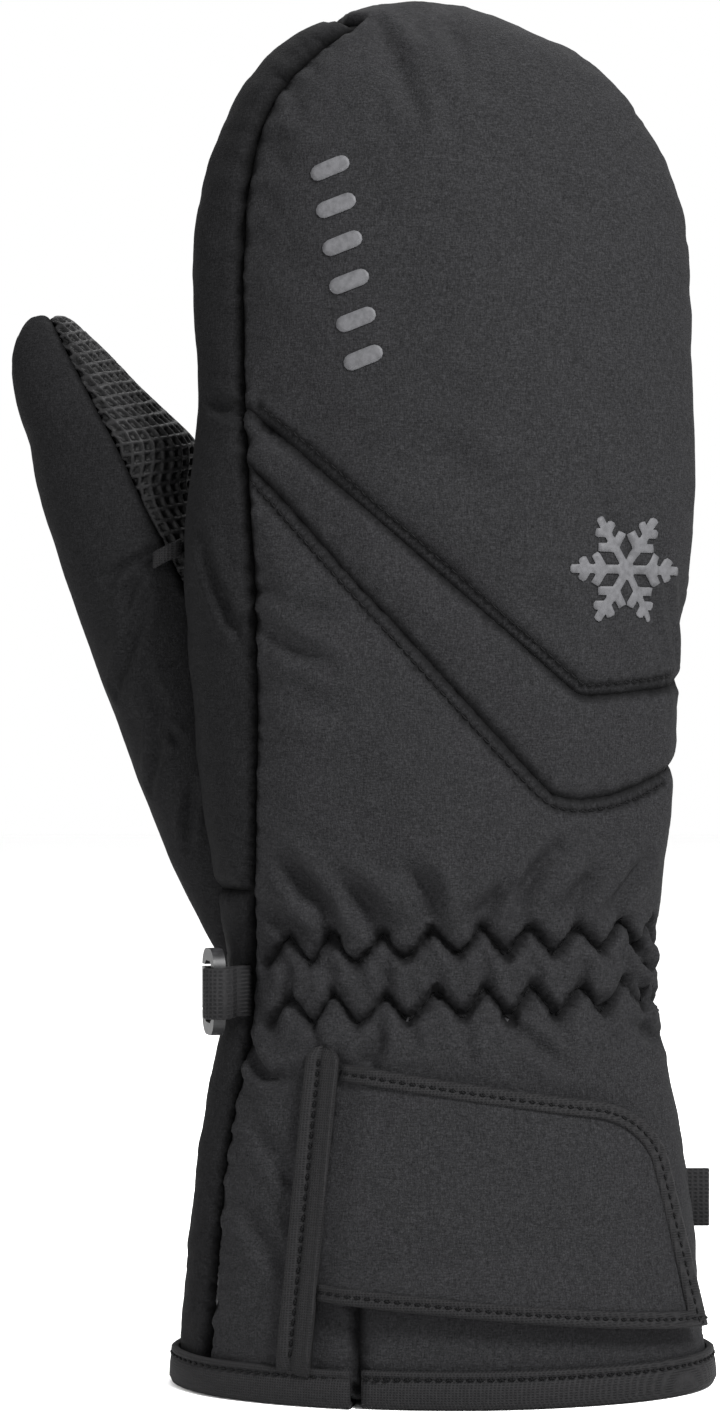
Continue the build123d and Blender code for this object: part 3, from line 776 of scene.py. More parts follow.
FOLDS = (  # soft valleys on the back sheet: (x, z) points, depth and width
    (((-33.0, 105.5), (-28.5, 100.8), (-24.1, 96.3), (-22.4, 90.4)), 2.2, 1.9),
    (((-36.6, 95.3), (-32.0, 92.4), (-27.4, 89.4)), 1.5, 1.5),
    (((-20.8, 100.4), (-16.9, 98.0), (-13.1, 92.1)), 2.2, 2.2),
    (((-7.2, 102.6), (-3.2, 99.6), (-3.4, 92.5)), 2.0, 2.1),
    (((11.4, 99.5), (8.6, 96.4), (5.9, 93.3)), 1.6, 1.9),
    (((21.4, 107.0), (16.2, 101.4), (13.9, 93.9)), 1.7, 1.5),
    (((29.4, 102.0), (26.0, 98.2), (23.7, 94.3)), 1.7, 1.9),
    (((39.8, 104.0), (36.6, 99.7), (32.5, 94.6)), 1.8, 1.7),
    (((-38.7, 151.4), (-31.0, 146.8), (-22.8, 142.8)), 1.1, 1.8),
    (((-39.4, 157.0), (-33.7, 158.2)), 0.8, 1.4),
    (((-31.4, 152.6), (-22.4, 154.2)), 0.8, 2.2),
    (((-30.4, 136.2), (-21.6, 133.8)), 0.7, 2.4),
    (((-40.6, 186.5), (-37.0, 189.5), (-33.0, 187.0)), 0.8, 1.6),
    (((-47.8, 169.0), (-45.3, 158.7), (-41.7, 149.8), (-39.2, 145.9)), 1.3, 1.3),
    (((-47.5, 196.0), (-44.6, 193.6), (-42.0, 193.0)), 1.2, 1.4),
    (((-40.2, 68.6), (-37.9, 64.4), (-34.6, 61.8), (-30.6, 63.6)), 1.7, 1.3),
    (((-13.6, 73.6), (-13.8, 68.6), (-16.0, 64.6)), 1.5, 1.5),
    (((12.5, 74.4), (17.2, 69.4), (23.5, 64.8)), 1.1, 1.5),
    (((-38.4, 53.0), (-34.0, 47.4), (-29.0, 43.8)), 0.8, 2.0),
    (((-41.0, 37.5), (-35.8, 30.5), (-30.6, 26.0)), 0.9, 2.0),
    (((-33.4, 44.8), (-29.6, 41.6)), 0.7, 1.4),
    (((38.0, 88.0), (41.0, 84.6), (43.2, 81.6)), 1.5, 1.3),
    (((38.2, 81.0), (41.4, 77.4), (43.8, 75.8)), 1.5, 1.3),
    (((37.6, 72.4), (41.6, 70.6), (45.4, 68.2)), 1.3, 1.3),
    (((20.2, 236.5), (28.0, 229.0)), 0.5, 3.4),
    (((-6.0, 187.0), (7.0, 178.0)), 0.5, 3.6),
    (((14.0, 158.0), (24.5, 148.0)), 0.5, 3.2),
)

hand_cloth = Cloth("hand_cloth", hand, seams, SHELL_FOOT, CELL)
x, y, z = hand_cloth.surface.T
zone_left, zone_right, zone_top = STRAP_ZONE
under_strap = (
    smooth_step(x, zone_left - 5, zone_left) * (1 - smooth_step(x, zone_right - 4, zone_right + 2))
    * (1 - smooth_step(z, zone_top - 6, zone_top + 3)) * (y < -3)
)
gathered = np.exp(-(((z - 84.0) / 17.0) ** 2))
hand_cloth.blow(
    held=np.where((z < 8.5) | (z > TIP_Z - 0.4), 1.0, 0.0),
    fuller=1.035 + 0.17 * gathered,
    pressure=3.2,
    flat=under_strap,
)
WALLS = ("index", "stripe_top", "stripe_bottom", "cuff", "palm")
hand_cloth.divide(HAND_PANELS, "back_lower", WALLS)
hand_cloth.refine(SHARPNESS)
rest = hand_cloth.rest
for i, seam in enumerate(seams):
    line = hand.place(resample(seam.points, 1.0), seam.side)
    height, wave = PUCKERS.get(seam.kind, (0.3, 6.0))
    hand_cloth.raise_by(pucker(rest, line, height, wave, 4.5, i))
    # painted shade: the colour is darkened along each seam's groove
    hand_cloth.darken(line, 0.6 if seam.kind == "topstitch" else 0.85)
    if seam.kind == "zigzag":
        hand_cloth.raise_by(fold(rest, line, 0.65, 0.8))
hand_cloth.fold_back(FOLDS)
GATHERS_FOOT = 66  # no gather runs down past this height, where the strap lies


def gathers(rest):
    """Heights of the short folds between the rows of zigzag, and above and below them."""
    for side in (BACK, PALM):
        upper, lower = (zigzag(*row, side) for row in ZIGZAG_ROWS)
        lengths = np.random.default_rng(31 + side).uniform(0.6, 1.4, (2, len(lower)))
        for k in range(1, len(lower) - 1):
            if k % 2:
                end, depth = lower[k] + (0.0, 6.0 * lengths[0, k]), 1.2
            else:
                end, depth = lower[k] + (1.4, -8.0 * lengths[1, k]), 0.8
            line = hand.place(resample([lower[k], end], 1.0), side)
            yield fold(rest, line, depth, 1.3) * (rest[:, 2] > GATHERS_FOOT)
            if side == PALM and k % 2:
                line = hand.place(resample([upper[k], upper[k] + (0.0, 11.0 * lengths[1, k])], 1.0), side)
                yield fold(rest, line, 1.6, 1.9)


for heights in gathers(rest):
    hand_cloth.raise_by(heights)
x, y, z = rest.T
calm = 1 - 0.9 * (y < -3) * smooth_step(x, -32, -26) * (1 - smooth_step(z, 64, 70))  # under the strap
hand_cloth.raise_by((ripple(rest, 34.0, 1) * 0.55 + ripple(rest, 11.0, 2) * 0.16) * calm)
hand_cloth.settle()
pieces = hand_cloth.cut_out(list(HAND_PANELS))

# ---- The thumb's cloth --------------------------------------------------------------------------
THUMB_CELL = 1.4
THUMB_PANELS = {
    "thumb_skin": [(-84.0, 18.0, 185.0)],
    "thumb_grip_skin": [(-56.0, 4.5, 188.0)],
}
GRIP_SEAM = ((-79.5, 214.5), (-67.6, 191.0), (-55.5, 167.0), (-50.0, 156.0))
GRID = 2.3  # spacing of the grip's raised squares
GRID_DEPTH = 0.6
COLUMN_TURN = 0.12  # how far the grid's columns and rows lean, as slopes
ROW_TURN = 0.16
RIB_EDGE = (0.2, 0.55)  # where a rib's top ends and a hollow's floor starts, from 0 at the rib's middle
THUMB_FOLDS = (
    (((-68.4, 160.6), (-62.9, 163.8), (-57.8, 166.2)), 1.2, 1.1),
    (((-64.4, 152.0), (-63.2, 159.4), (-58.6, 165.4)), 1.0, 1.2),
    (((-67.2, 138.0), (-64.0, 145.4), (-60.2, 156.0)), 1.1, 1.4),
    (((-60.0, 118.6), (-58.0, 127.0), (-57.6, 134.4)), 0.9, 1.3),
    (((-53.4, 128.0), (-55.8, 130.4)), 0.8, 1.0),
    (((-52.0, 107.0), (-51.6, 113.2), (-50.2, 118.8)), 1.0, 1.2),
    (((-62.0, 142.0), (-56.6, 133.0)), 0.7, 1.8),
)


def thumb_grip_lines():
    """The grip's seam on both sheets of the thumb, from the tip to the border inside the hand."""
    corners = sheet_border(thumb, THUMB_CELL, 0.0)
    foot = corners[np.argmin(np.abs(corners[:, 1] - np.interp(148.0, thumb.z, thumb.t)))]
    line = np.concatenate([[(0.0, thumb.length)], thumb.spot(resample(GRIP_SEAM, 2.0)), [foot]])
    return [Seam("grip", side, line, SEAM_DEPTH * 0.7) for side in (BACK, PALM)]


grip_lines = thumb_grip_lines()
thumb_cloth = Cloth("thumb_cloth", thumb, grip_lines, 0.0, THUMB_CELL)
z = thumb_cloth.surface[:, 2]
thumb_cloth.blow(
    held=np.where((z < THUMB_ROOT[2] + 4) | (z > THUMB_TOP.z - 0.4), 1.0, 0.0),
    fuller=np.full(len(z), 1.03),
    pressure=2.4,
    flat=np.zeros(len(z)),
)
thumb_cloth.divide(THUMB_PANELS, "thumb_skin", ("grip",))
thumb_cloth.refine(SHARPNESS)
rest = thumb_cloth.rest
for i, seam in enumerate(grip_lines):
    line = thumb.place(resample(seam.points, 1.0), seam.side)
    thumb_cloth.raise_by(pucker(rest, line, 0.16, 4.0, 3.0, i + 40))
    # painted shade: the colour is darkened along the grip seam's groove
    thumb_cloth.darken(line, 0.7)
thumb_cloth.fold_back(THUMB_FOLDS)
thumb_cloth.raise_by(ripple(rest, 30.0, 5) * 0.22 + ripple(rest, 9.0, 6) * 0.08)
thumb_cloth.settle()
pieces.update(thumb_cloth.cut_out(list(THUMB_PANELS)))


def emboss(piece, tube):
    """Raises a grid of ribs between square hollows, as fine geometry, and paints shade into the hollows."""
    piece.modifiers.new("finer", "SUBSURF").levels = 1
    mesh = applied(piece).data
    along, across = tube.unrolled(point_rows(mesh.attributes["rest"].data, "vector"))
    u = (across + COLUMN_TURN * along) / GRID
    v = (along + ROW_TURN * across) / GRID
    from_rib = np.minimum(1 - np.abs(2 * (u % 1) - 1), 1 - np.abs(2 * (v % 1) - 1))
    hollow = smooth_step(from_rib, *RIB_EDGE)
    points = point_rows(mesh.vertices, "co") - point_rows(mesh.vertices, "normal") * (
        hollow * GRID_DEPTH * MM)[:, None]
    mesh.vertices.foreach_set("co", points.ravel())
    # painted shade: the hollows are darkened in the grip's colour
    mesh.attributes["painted_shade"].data.foreach_set("value", hollow)


emboss(pieces["thumb_grip_skin"], thumb)
REPLACED = {
    "back_upper": ("back_panel_upper", "back_wadding", "membrane_hand"),
    "back_stripe": ("back_panel_stripe",),
    "back_lower": ("back_panel_lower", "wrist_elastic", "cuff_pleat"),
    "index_gusset_skin": ("index_gusset",),
    "palm_skin": ("palm_panel", "palm_wadding"),
    "cuff_palm_skin": ("cuff_palm_panel", "cuff_wadding"),
    "thumb_skin": ("thumb_saddle", "thumb_back_panel", "thumb_wadding", "thumb_membrane", "thumb_lining"),
    "thumb_grip_skin": ("thumb_grip_panel",),
}
for name, nodes in REPLACED.items():
    piece = thicken(pieces[name])
    if name in THUMB_PANELS:
        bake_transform(piece)
    else:
        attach(piece, "mitten")
    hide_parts(*nodes)

# ---- Flat pieces that lie on the hand: layers, ribbons and threads ------------------------------
STITCH_RINGS, STITCH_SIDES = 5, 6


def over_hand(xz, lift):
    """Points above the hand's plain back at (x, z) places."""
    return hand.place(hand.spot(xz), BACK, lift)


def row_over_hand(points, way_from):
    """A row for stitches: its points, and the way out at each of the (x, z) places below them."""
    return points, hand.normal(hand.spot(way_from), BACK)


def film(name, outline, step, top, bottom, place):
    """A flat piece with a closed (x, z) outline, between two surfaces that place(xz, lift) gives."""
    flat, faces, _ = triangulate(resample(np.concatenate([outline, outline[:1]]), step)[:-1], [], step)
    count = len(flat)
    owners = {}
    for a, b, c in faces:
        for edge in ((a, b), (b, c), (c, a)):
            owners[edge] = owners.get(edge, 0) + 1
    rim = [edge for edge in owners if edge[::-1] not in owners]
    faces = [tuple(f) for f in faces]
    faces += [(a + count, c + count, b + count) for a, b, c in faces]
    faces += [(b, a, a + count, b + count) for a, b in rim]
    return new_piece(name, np.concatenate([place(flat, top), place(flat, bottom)]), faces)


def solid(name, points, faces):
    """A closed piece whose faces all look outwards."""
    piece = new_piece(name, points, faces)
    bm = bmesh.new()
    bm.from_mesh(piece.data)
    bmesh.ops.recalc_face_normals(bm, faces=bm.faces)
    bm.to_mesh(piece.data)
    bm.free()
    return piece


def tube_faces(start, rings, sides):
    """The faces of a capped row of rings, each of as many points as sides, numbered from start."""
    faces = []
    for a in range(start, start + (rings - 1) * sides, sides):
        b = a + sides
        faces.extend((a + k, b + k, b + (k + 1) % sides, a + (k + 1) % sides) for k in range(sides))
    faces.append(tuple(start + k for k in range(sides)))
    faces.append(tuple(start + (rings - 1) * sides + k for k in reversed(range(sides))))
    return faces


def swept(name, sections):
    """A solid through a row of closed sections with the same number of points."""
    rings = np.asarray(sections)
    return solid(name, rings.reshape(-1, 3), tube_faces(0, *rings.shape[:2]))


def bordered(name, corners, profile, step):
    """A strip along the inside of a row of (x, z) corners. The profile gives (distance in, height)."""
    p = np.asarray(corners, float)
    run = np.diff(p, axis=0)
    run /= np.linalg.norm(run, axis=1, keepdims=True)
    side = np.stack([run[:, 1], -run[:, 0]], 1)
    mitre = [side[0]]
    for a, b in zip(side, side[1:]):
        mitre.append((a + b) / (1 + a @ b))
    mitre.append(side[-1])
    sections = []
    for i in range(len(run)):
        count = max(int(np.linalg.norm(p[i + 1] - p[i]) / step), 1)
        for k in np.arange(count) / count:
            sections.append((p[i] + (p[i + 1] - p[i]) * k, mitre[i] + (mitre[i + 1] - mitre[i]) * k))
    sections.append((p[-1], mitre[-1]))
    return swept(name, [
        np.concatenate([over_strap([middle + away * d], h) for d, h in profile])
        for middle, away in sections
    ])


def sewn(name, rows, pitch, length):
    """A thread's stitches along rows of points: each dips into the cloth at both ends."""
    shape = []
    for k in np.linspace(-1, 1, STITCH_RINGS):
        thick = THREAD_RADIUS * (1 - 0.55 * k**4)
        for a in np.radians(np.arange(STITCH_SIDES) * 360 / STITCH_SIDES):
            sunk = THREAD_RADIUS * k * k / 2
            shape.append((k * length / 2, math.cos(a) * thick, math.sin(a) * thick - sunk))
    verts, faces = [], []
    for points, ways in rows:
        run = np.concatenate([[0], np.cumsum(np.linalg.norm(np.diff(points, axis=0), axis=1))])
        middles = np.arange(pitch / 2, run[-1], pitch)
        at, ahead, behind, up = (
            np.stack([np.interp(middles + shift, run, values[:, i]) for i in range(3)], 1)
            for values, shift in ((points, 0), (points, 0.5), (points, -0.5), (ways, 0))
        )
        along = (ahead - behind) / np.maximum(np.linalg.norm(ahead - behind, axis=1, keepdims=True), 1e-6)
        for axes in zip(at, along, np.cross(up, along), up):
            faces.extend(tube_faces(len(verts), STITCH_RINGS, STITCH_SIDES))
            verts.extend(axes[0] + np.array(shape) @ np.stack(axes[1:]))
    return solid(name, verts, faces)


# ---- Strap, its binding, and the tape over its root ---------------------------------------------
STRAP_TOP_LEFT, STRAP_SHOULDER, STRAP_ELBOW = (-19.6, 65.6), (28.0, 58.2), (41.5, 46.0)
STRAP_FOOT, STRAP_MIDDLE, STRAP_BOTTOM_LEFT = (49.0, 13.0), (-2.2, 18.3), (-24.8, 20.4)
STRAP_TUCK = 1.0
STRAP_STITCH_INSET = 1.8  # from the binding's outer edge to its stitches, which lie in its groove
ROOT_TUCK = 1.6  # how far the strap runs in under the tape over its root
ROOT_DROP = 1.7  # how much lower it lies there


def root_drop(xz):
    """How much lower the strap lies near its root, where the tape holds it down."""
    foot, top = STRAP_BOTTOM_LEFT, STRAP_TOP_LEFT
    root = foot[0] + (xz[:, 1] - foot[1]) * (top[0] - foot[0]) / (top[1] - foot[1])
    return ROOT_DROP * (1 - smooth_step(xz[:, 0] - root, -0.5, 5.5))


def over_strap(xz, lift):
    """Points above the hand's plain surface, as high as the strap's layers lie."""
    xz = np.asarray(xz, float)
    return over_hand(xz, np.maximum(lift - root_drop(xz), 0.4 + 0.25 * lift))


def shoulder_arc(start, before, end, count=10):
    """Points from start to end along the arc that leaves start in the direction it came in."""
    a, b, d = (Vector(v) for v in (start, end, Vector(start) - Vector(before)))
    d.normalize()
    side = Vector((-d.y, d.x))
    chord = b - a
    radius = chord.length_squared / (2 * chord.dot(side))
    middle = a + side * radius
    sweep = 2 * math.asin(min(chord.length / (2 * abs(radius)), 1)) * (1 if radius > 0 else -1)
    out = a - middle
    arc = [
        middle + Vector((
            out.x * math.cos(sweep * k / count) - out.y * math.sin(sweep * k / count),
            out.x * math.sin(sweep * k / count) + out.y * math.cos(sweep * k / count),
        ))
        for k in range(count + 1)
    ]
    return [tuple(p) for p in arc]


ARC = shoulder_arc(STRAP_SHOULDER, STRAP_TOP_LEFT, STRAP_ELBOW)
STRAP_EDGE = [STRAP_TOP_LEFT, *ARC, STRAP_FOOT, STRAP_MIDDLE, STRAP_BOTTOM_LEFT]


def strap_face_outline():
    """The strap's edge, drawn in under its binding, and run in under the tape over its root."""
    edge = np.array(STRAP_EDGE)
    inward = edge.mean(0) - edge
    edge += inward / np.linalg.norm(inward, axis=1, keepdims=True) * STRAP_TUCK * 1.3
    edge[0] = STRAP_TOP_LEFT + np.array((-ROOT_TUCK, -STRAP_TUCK))
    edge[-1] = STRAP_BOTTOM_LEFT + np.array((-ROOT_TUCK, STRAP_TUCK))
    return edge


def strap_top(xz, lift):
    """The strap's face crowns a little and has a shallow crease below its middle."""
    soft = 0.22 * np.sin(xz[:, 0] / 9.0 + 0.6) * np.sin(xz[:, 1] / 8.0)
    crease = 0.45 * np.exp(-(((xz[:, 1] - 29 - 0.16 * xz[:, 0]) / 3.0) ** 2)) * (xz[:, 0] < 20)
    return over_strap(xz, lift + (soft - crease if lift > 3 else 0))


strap_face = film("strap_face", strap_face_outline(), 1.2, 3.3, 1.95, strap_top)
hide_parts("strap_face_panel", "strap_backing")
BINDING_PROFILE = (
    (0.5, 1.3), (0.05, 1.9), (0.0, 2.8), (0.25, 3.55), (0.8, 3.9), (1.5, 3.72), (1.8, 3.62), (2.1, 3.72),
    (2.7, 3.95), (3.1, 3.9), (3.3, 3.5), (3.3, 3.1), (1.4, 2.4), (3.3, 1.9), (3.2, 1.35),
)
strap_binding = bordered("strap_binding_tape", STRAP_EDGE, BINDING_PROFILE, 1.2)
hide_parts("strap_binding")
strap_stitches = beside(resample(STRAP_EDGE, 0.8), -STRAP_STITCH_INSET)
strap_row = row_over_hand(over_strap(strap_stitches, 3.72), strap_stitches)
strap_thread = sewn("strap_thread", [strap_row], 1.95, 1.35)
for piece in (strap_face, strap_binding, strap_thread):
    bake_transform(piece)

TAPE_TOP, TAPE_FOOT = np.array((-23.8, 66.6)), np.array((-29.7, 5.6))
TAPE_HALF = 3.4  # half its width
TAPE_ROUND = 2.4  # how far its round end stands out past TAPE_TOP
TAPE_PROFILE = (  # (distance from the middle, height): two plies, with the stitches in the groove between
    (-3.2, 0.2), (-3.25, 1.0), (-2.9, 2.0), (-2.2, 2.35), (-1.3, 2.2), (-0.7, 1.75), (-0.35, 1.45),
    (0.0, 1.7), (0.5, 2.2), (1.6, 2.5), (2.5, 2.65), (3.0, 3.1), (3.4, 2.9), (3.5, 1.8), (3.3, 0.2),
)
heading = (TAPE_FOOT - TAPE_TOP) / np.linalg.norm(TAPE_FOOT - TAPE_TOP)
left = np.array((heading[1], -heading[0]))
tape_length = np.linalg.norm(TAPE_FOOT - TAPE_TOP) + TAPE_ROUND


def tape_ring(distance):
    """A section of the tape: it narrows to a round end at the top."""
    span = min(1.0, math.sqrt(max(1 - (1 - min(distance / TAPE_HALF, 1)) ** 2, 0.02)))
    middle = TAPE_TOP + heading * (distance - TAPE_ROUND)
    strip = [middle - left * u * span for u, _ in TAPE_PROFILE]
    lift = np.array([h for _, h in TAPE_PROFILE])
    low = lift.copy()
    ends = min(1.0, 0.45 + distance / 4, 0.35 + max(tape_length - distance, 0) / 6)
    low[1:-1] = 0.2 + (lift[1:-1] - 0.2) * ends
    return over_hand(np.array(strip), low)


tape_steps = np.concatenate([np.linspace(0.02, TAPE_HALF, 8), np.arange(TAPE_HALF + 1, tape_length, 1.2)])
tape = swept("strap_root_ribbon", [tape_ring(distance) for distance in tape_steps])
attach(tape, "mitten")
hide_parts("strap_root_tape")
tape_line = np.array([TAPE_TOP + heading * d + left * 0.45 for d in np.arange(0.0, tape_length - 6, 0.8)])
tape_row = row_over_hand(over_hand(tape_line, 1.75), tape_line)

# ---- Hem tape -----------------------------------------------------------------------------------
HEM_NOTCH = 1.1  # half width of the notch where the hem's two ends meet
HEM_PROFILE = (  # (height above the shell, z)
    (-0.4, 7.3), (0.5, 7.6), (1.0, 7.2), (1.05, 6.6), (0.75, 6.2), (0.7, 5.8), (1.0, 5.4), (1.15, 4.0),
    (1.15, 1.6), (0.6, 0.4), (-0.6, 0.0), (-3.4, 0.0), (-4.9, 0.3), (-5.6, 1.4), (-5.7, 4.0), (-5.5, 7.2),
    (-4.9, 7.2), (-4.8, 2.0), (-4.0, 1.0), (-1.4, 1.0), (-0.5, 1.8), (-0.4, 5.0),
)
HEM_GROOVE = (0.95, 6.0)  # where the stitches lie in that profile


def hem_place(s, side, lift, height):
    point = hand.place(np.array([(s, max(np.interp(height, hand.z, hand.t), 0.0))]), side, lift)[0]
    return np.array((point[0], point[1], height))


def round_the_hem(step):
    """Places round the hem, from one side of the notch to the other."""
    quarter = hand.quarter[0]
    notch = hand.spot([(PLEAT_X, 1.6)])[0, 0]
    right = [(s, BACK) for s in np.linspace(notch + HEM_NOTCH, quarter, int((quarter - notch) / step))]
    far = [(s, PALM) for s in np.linspace(quarter, -quarter, int(2 * quarter / step))[1:]]
    near = [(s, BACK) for s in np.linspace(-quarter, notch - HEM_NOTCH, int((quarter + notch) / step))[1:]]
    return right + far + near


def hem_tape():
    """The tape, with one end swollen over the notch and the other flat, and the row for its stitches."""
    stations = round_the_hem(1.6)
    wobble = ripple(np.array([(s, side * 40.0, 0.0) for s, side in stations]), 16.0, 12) * 0.22
    rings, row = [], []
    for i, (s, side) in enumerate(stations):
        from_end = len(stations) - 1 - i
        swell = 0.55 * math.exp(-((from_end / 4.0) ** 2)) - 0.5 * math.exp(-((i / 4.0) ** 2))
        rings.append([hem_place(s, side, lift + wobble[i] + swell, height) for lift, height in HEM_PROFILE])
        row.append(hem_place(s, side, HEM_GROOVE[0] + wobble[i], HEM_GROOVE[1]))
    ways = [hand.normal(np.array([(s, 3.0)]), side)[0] for s, side in stations]
    return swept("hem_tape", rings), (np.array(row), np.array(ways))


hem, hem_row = hem_tape()
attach(hem, "mitten")
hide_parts("hem_binding")

# ---- Stitches on the panels ---------------------------------------------------------------------
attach(sewn("cuff_thread", [tape_row, hem_row], 2.0, 1.4), "mitten")
panel_rows = [
    hand_cloth.on_top(resample(seam.points, 0.8), seam.side, 0.05)
    for seam in seams if seam.kind in ("topstitch", "zigzag")
]
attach(sewn("panel_thread", panel_rows, 2.1, 1.75), "mitten")

# ---- Lining -------------------------------------------------------------------------------------
LINING_STEP = 4.0
LINING_IN = (3.7, 6.1)  # how far inside the shell it lies in the cuff and in the hand, behind the wadding


def fleece_lining():
    """One soft bag inside the hand, open at the hem."""
    rows, faces, _ = cloth_mesh(hand, [], SHELL_FOOT, LINING_STEP)
    skin = hand.place(rows[:, :2], rows[:, 2])
    first, _, faces = weld(skin, faces)
    skin, outward = skin[first], hand.normal(rows[first, :2], rows[first, 2])
    deep = LINING_IN[0] + (LINING_IN[1] - LINING_IN[0]) * smooth_step(skin[:, 2], 62.0, 98.0)
    deep += ripple(skin, 22.0, 21) * 0.5
    piece = new_piece("fleece_lining", skin - outward * deep[:, None], faces)
    piece.modifiers.new("fine", "SUBSURF").levels = 1
    return thicken(applied(piece), 1.2)


lining = fleece_lining()
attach(lining, "mitten")
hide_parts("cuff_lining", "hand_lining")

# ---- Webbing loop, label and the crotch's tape end ----------------------------------------------
EYE = (-44.5, -15.0, 78.8)
EYE_R = 2.2
WEBBING_T, WEBBING_H = 0.9, 10.0
WEBBING_ROOT = (-38.6, -7.6)


def band(name, path, thickness, height, middle_z, lean=0.0):
    """A ribbon that stands on edge along a path of (x, y) points, with rounded edges."""
    p = np.asarray(path, float)
    d = np.gradient(p, axis=0)
    d /= np.linalg.norm(d, axis=1, keepdims=True)
    half, high, soft = thickness / 2, height / 2, min(thickness, 1.0) * 0.4
    profile = (
        (-half, -high + soft), (-half + soft, -high), (half - soft, -high), (half, -high + soft),
        (half, high - soft), (half - soft, high), (-half + soft, high), (-half, high - soft),
    )
    rings = []
    for (x, y), (dx, dy) in zip(p, d):
        rings.append([(x - dy * u, y + dx * u, middle_z + w + lean * (x - p[0, 0])) for u, w in profile])
    piece = swept(name, rings)
    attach(piece, "mitten")
    return piece


def eye_path():
    """From the side seam out along one ply, round the eye, and back along the other."""
    eye, root = np.array(EYE[:2]), np.array(WEBBING_ROOT)
    middle_r = EYE_R + WEBBING_T / 2
    toward = (root - eye) / np.linalg.norm(root - eye)
    across = np.array((-toward[1], toward[0]))
    out = [root + across * WEBBING_T * 0.52 + (eye - root) * k for k in np.linspace(0, 0.55, 5)]
    base = math.atan2(toward[1], toward[0])
    turn = [
        eye + middle_r * np.array((math.cos(base + a), math.sin(base + a)))
        for a in np.radians(np.linspace(48, 312, 19))
    ]
    back = [root - across * WEBBING_T * 0.52 + (eye - root) * k for k in np.linspace(0.55, 0, 5)]
    return resample(rounded(np.array(out + turn + back), 1), 0.8)


webbing = band("hook_webbing", eye_path(), WEBBING_T, WEBBING_H, EYE[2])
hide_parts("hook_webbing_loop")

LABEL_AT = (49.0, 6.0, 36.0)
LABEL_T, LABEL_H = 0.34, 11.6
label_in, label_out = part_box("side_label")[0].x / MM - 1.0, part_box("side_label")[1].x / MM
fold_r = 0.36
fold_end = label_out - fold_r
label_path = [
    *((x, LABEL_AT[1] - fold_r) for x in np.linspace(label_in, fold_end, 6)),
    *((fold_end + fold_r * math.cos(a), LABEL_AT[1] + fold_r * math.sin(a))
      for a in np.radians(np.linspace(-60, 60, 5))),
    *((x, LABEL_AT[1] + fold_r) for x in np.linspace(fold_end, label_in, 6)),
]
label = band("side_label_tab", label_path, LABEL_T, LABEL_H, LABEL_AT[2])
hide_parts("side_label")

CROTCH = (-55.4, 1.2, 164.4)
CROTCH_LOOP = (2.6, 1.5)  # half sizes of the folded end
crotch_turns = np.radians(np.linspace(150, 400, 16))
crotch_path = np.stack([np.cos(crotch_turns), np.sin(crotch_turns)], 1) * CROTCH_LOOP + CROTCH[:2]
band("crotch_tape_end", crotch_path, 0.7, 3.4, CROTCH[2], 0.5)

# ---- Prints: slanted bars and a snowflake, as thin films on the cloth ---------------------------
BAR_COUNT, BAR_FOOT, BAR_STEP = 6, (-16.0, 202.0), (-1.3, 7.4)
BAR_SIZE, BAR_TILT = (8.0, 3.2), 20.0
FLAKE_CENTRE, FLAKE_R, FLAKE_LINE = (35.0, 161.5), 11.5, 1.7
PRINT_LIFT = (0.22, 0.03)  # a print's top and underside above the cloth


def on_cloth(xz, lift):
    return hand_cloth.on_top(hand.spot(xz), BACK, lift)[0]


def turned(points, degrees, centre):
    a = math.radians(degrees)
    return np.asarray(points) @ [[math.cos(a), math.sin(a)], [-math.sin(a), math.cos(a)]] + centre


def slot_outline(length, height):
    ends = np.radians(np.linspace(-90, 90, 9))
    right = np.stack([(length - height) / 2 + height / 2 * np.cos(ends), height / 2 * np.sin(ends)], 1)
    return np.concatenate([right, -right])


def flake_outline(radius, line):
    """Six arms with two pairs of twigs each, as one outline."""
    w = line / 2
    side = [(2 * w * math.cos(math.radians(30)), w)]
    for reach, twig in ((0.42, 0.30), (0.70, 0.22)):
        foot, length = radius * reach, radius * twig
        tip = np.array((foot + length * 0.5, length * math.sqrt(0.75)))
        away = np.array((-math.sqrt(0.75), 0.5)) * w
        side += [(foot - 0.577 * w, w), tuple(tip + away), tuple(tip - away), (foot + 1.732 * w, w)]
    side.append((radius, w))
    side = np.array(side)
    arm = np.concatenate([side[1:] * (1, -1), side[::-1]])
    return np.concatenate([turned(arm, 60 * k, (0, 0)) for k in range(6)])


bars = []
for i in range(BAR_COUNT):
    place = (BAR_FOOT[0] + BAR_STEP[0] * i, BAR_FOOT[1] + BAR_STEP[1] * i)
    outline = turned(slot_outline(*BAR_SIZE), BAR_TILT, place)
    bars.append(film(f"bar_{i + 1}", outline, 0.9, *PRINT_LIFT, on_cloth))
flake_edge = flake_outline(FLAKE_R, FLAKE_LINE) + FLAKE_CENTRE
flake = film("snowflake_print", flake_edge, 0.8, *PRINT_LIFT, on_cloth)
for piece in (*bars, flake):
    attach(piece, "mitten")
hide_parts("transfer_bars")
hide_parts("transfer_snowflake")

# ---- Snap hook: its frame with the moulding's rounded edges ------------------------------------
hook = linked("hook_frame_moulding", frame["nodes"]["hook_frame"].data.copy())
soft_edges = hook.modifiers.new("soft_edges", "BEVEL")
soft_edges.width = 0.55 * MM
soft_edges.segments = 3
soft_edges.limit_method = "ANGLE"
soft_edges.angle_limit = math.radians(50)
applied(hook)
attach(hook, "snap_hook")
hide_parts("hook_frame")

# ---- Materials ----------------------------------------------------------------------------------
BANDS_PER_UNIT = 2 * math.pi / 20  # the wave texture's scale that gives one band to each unit of length


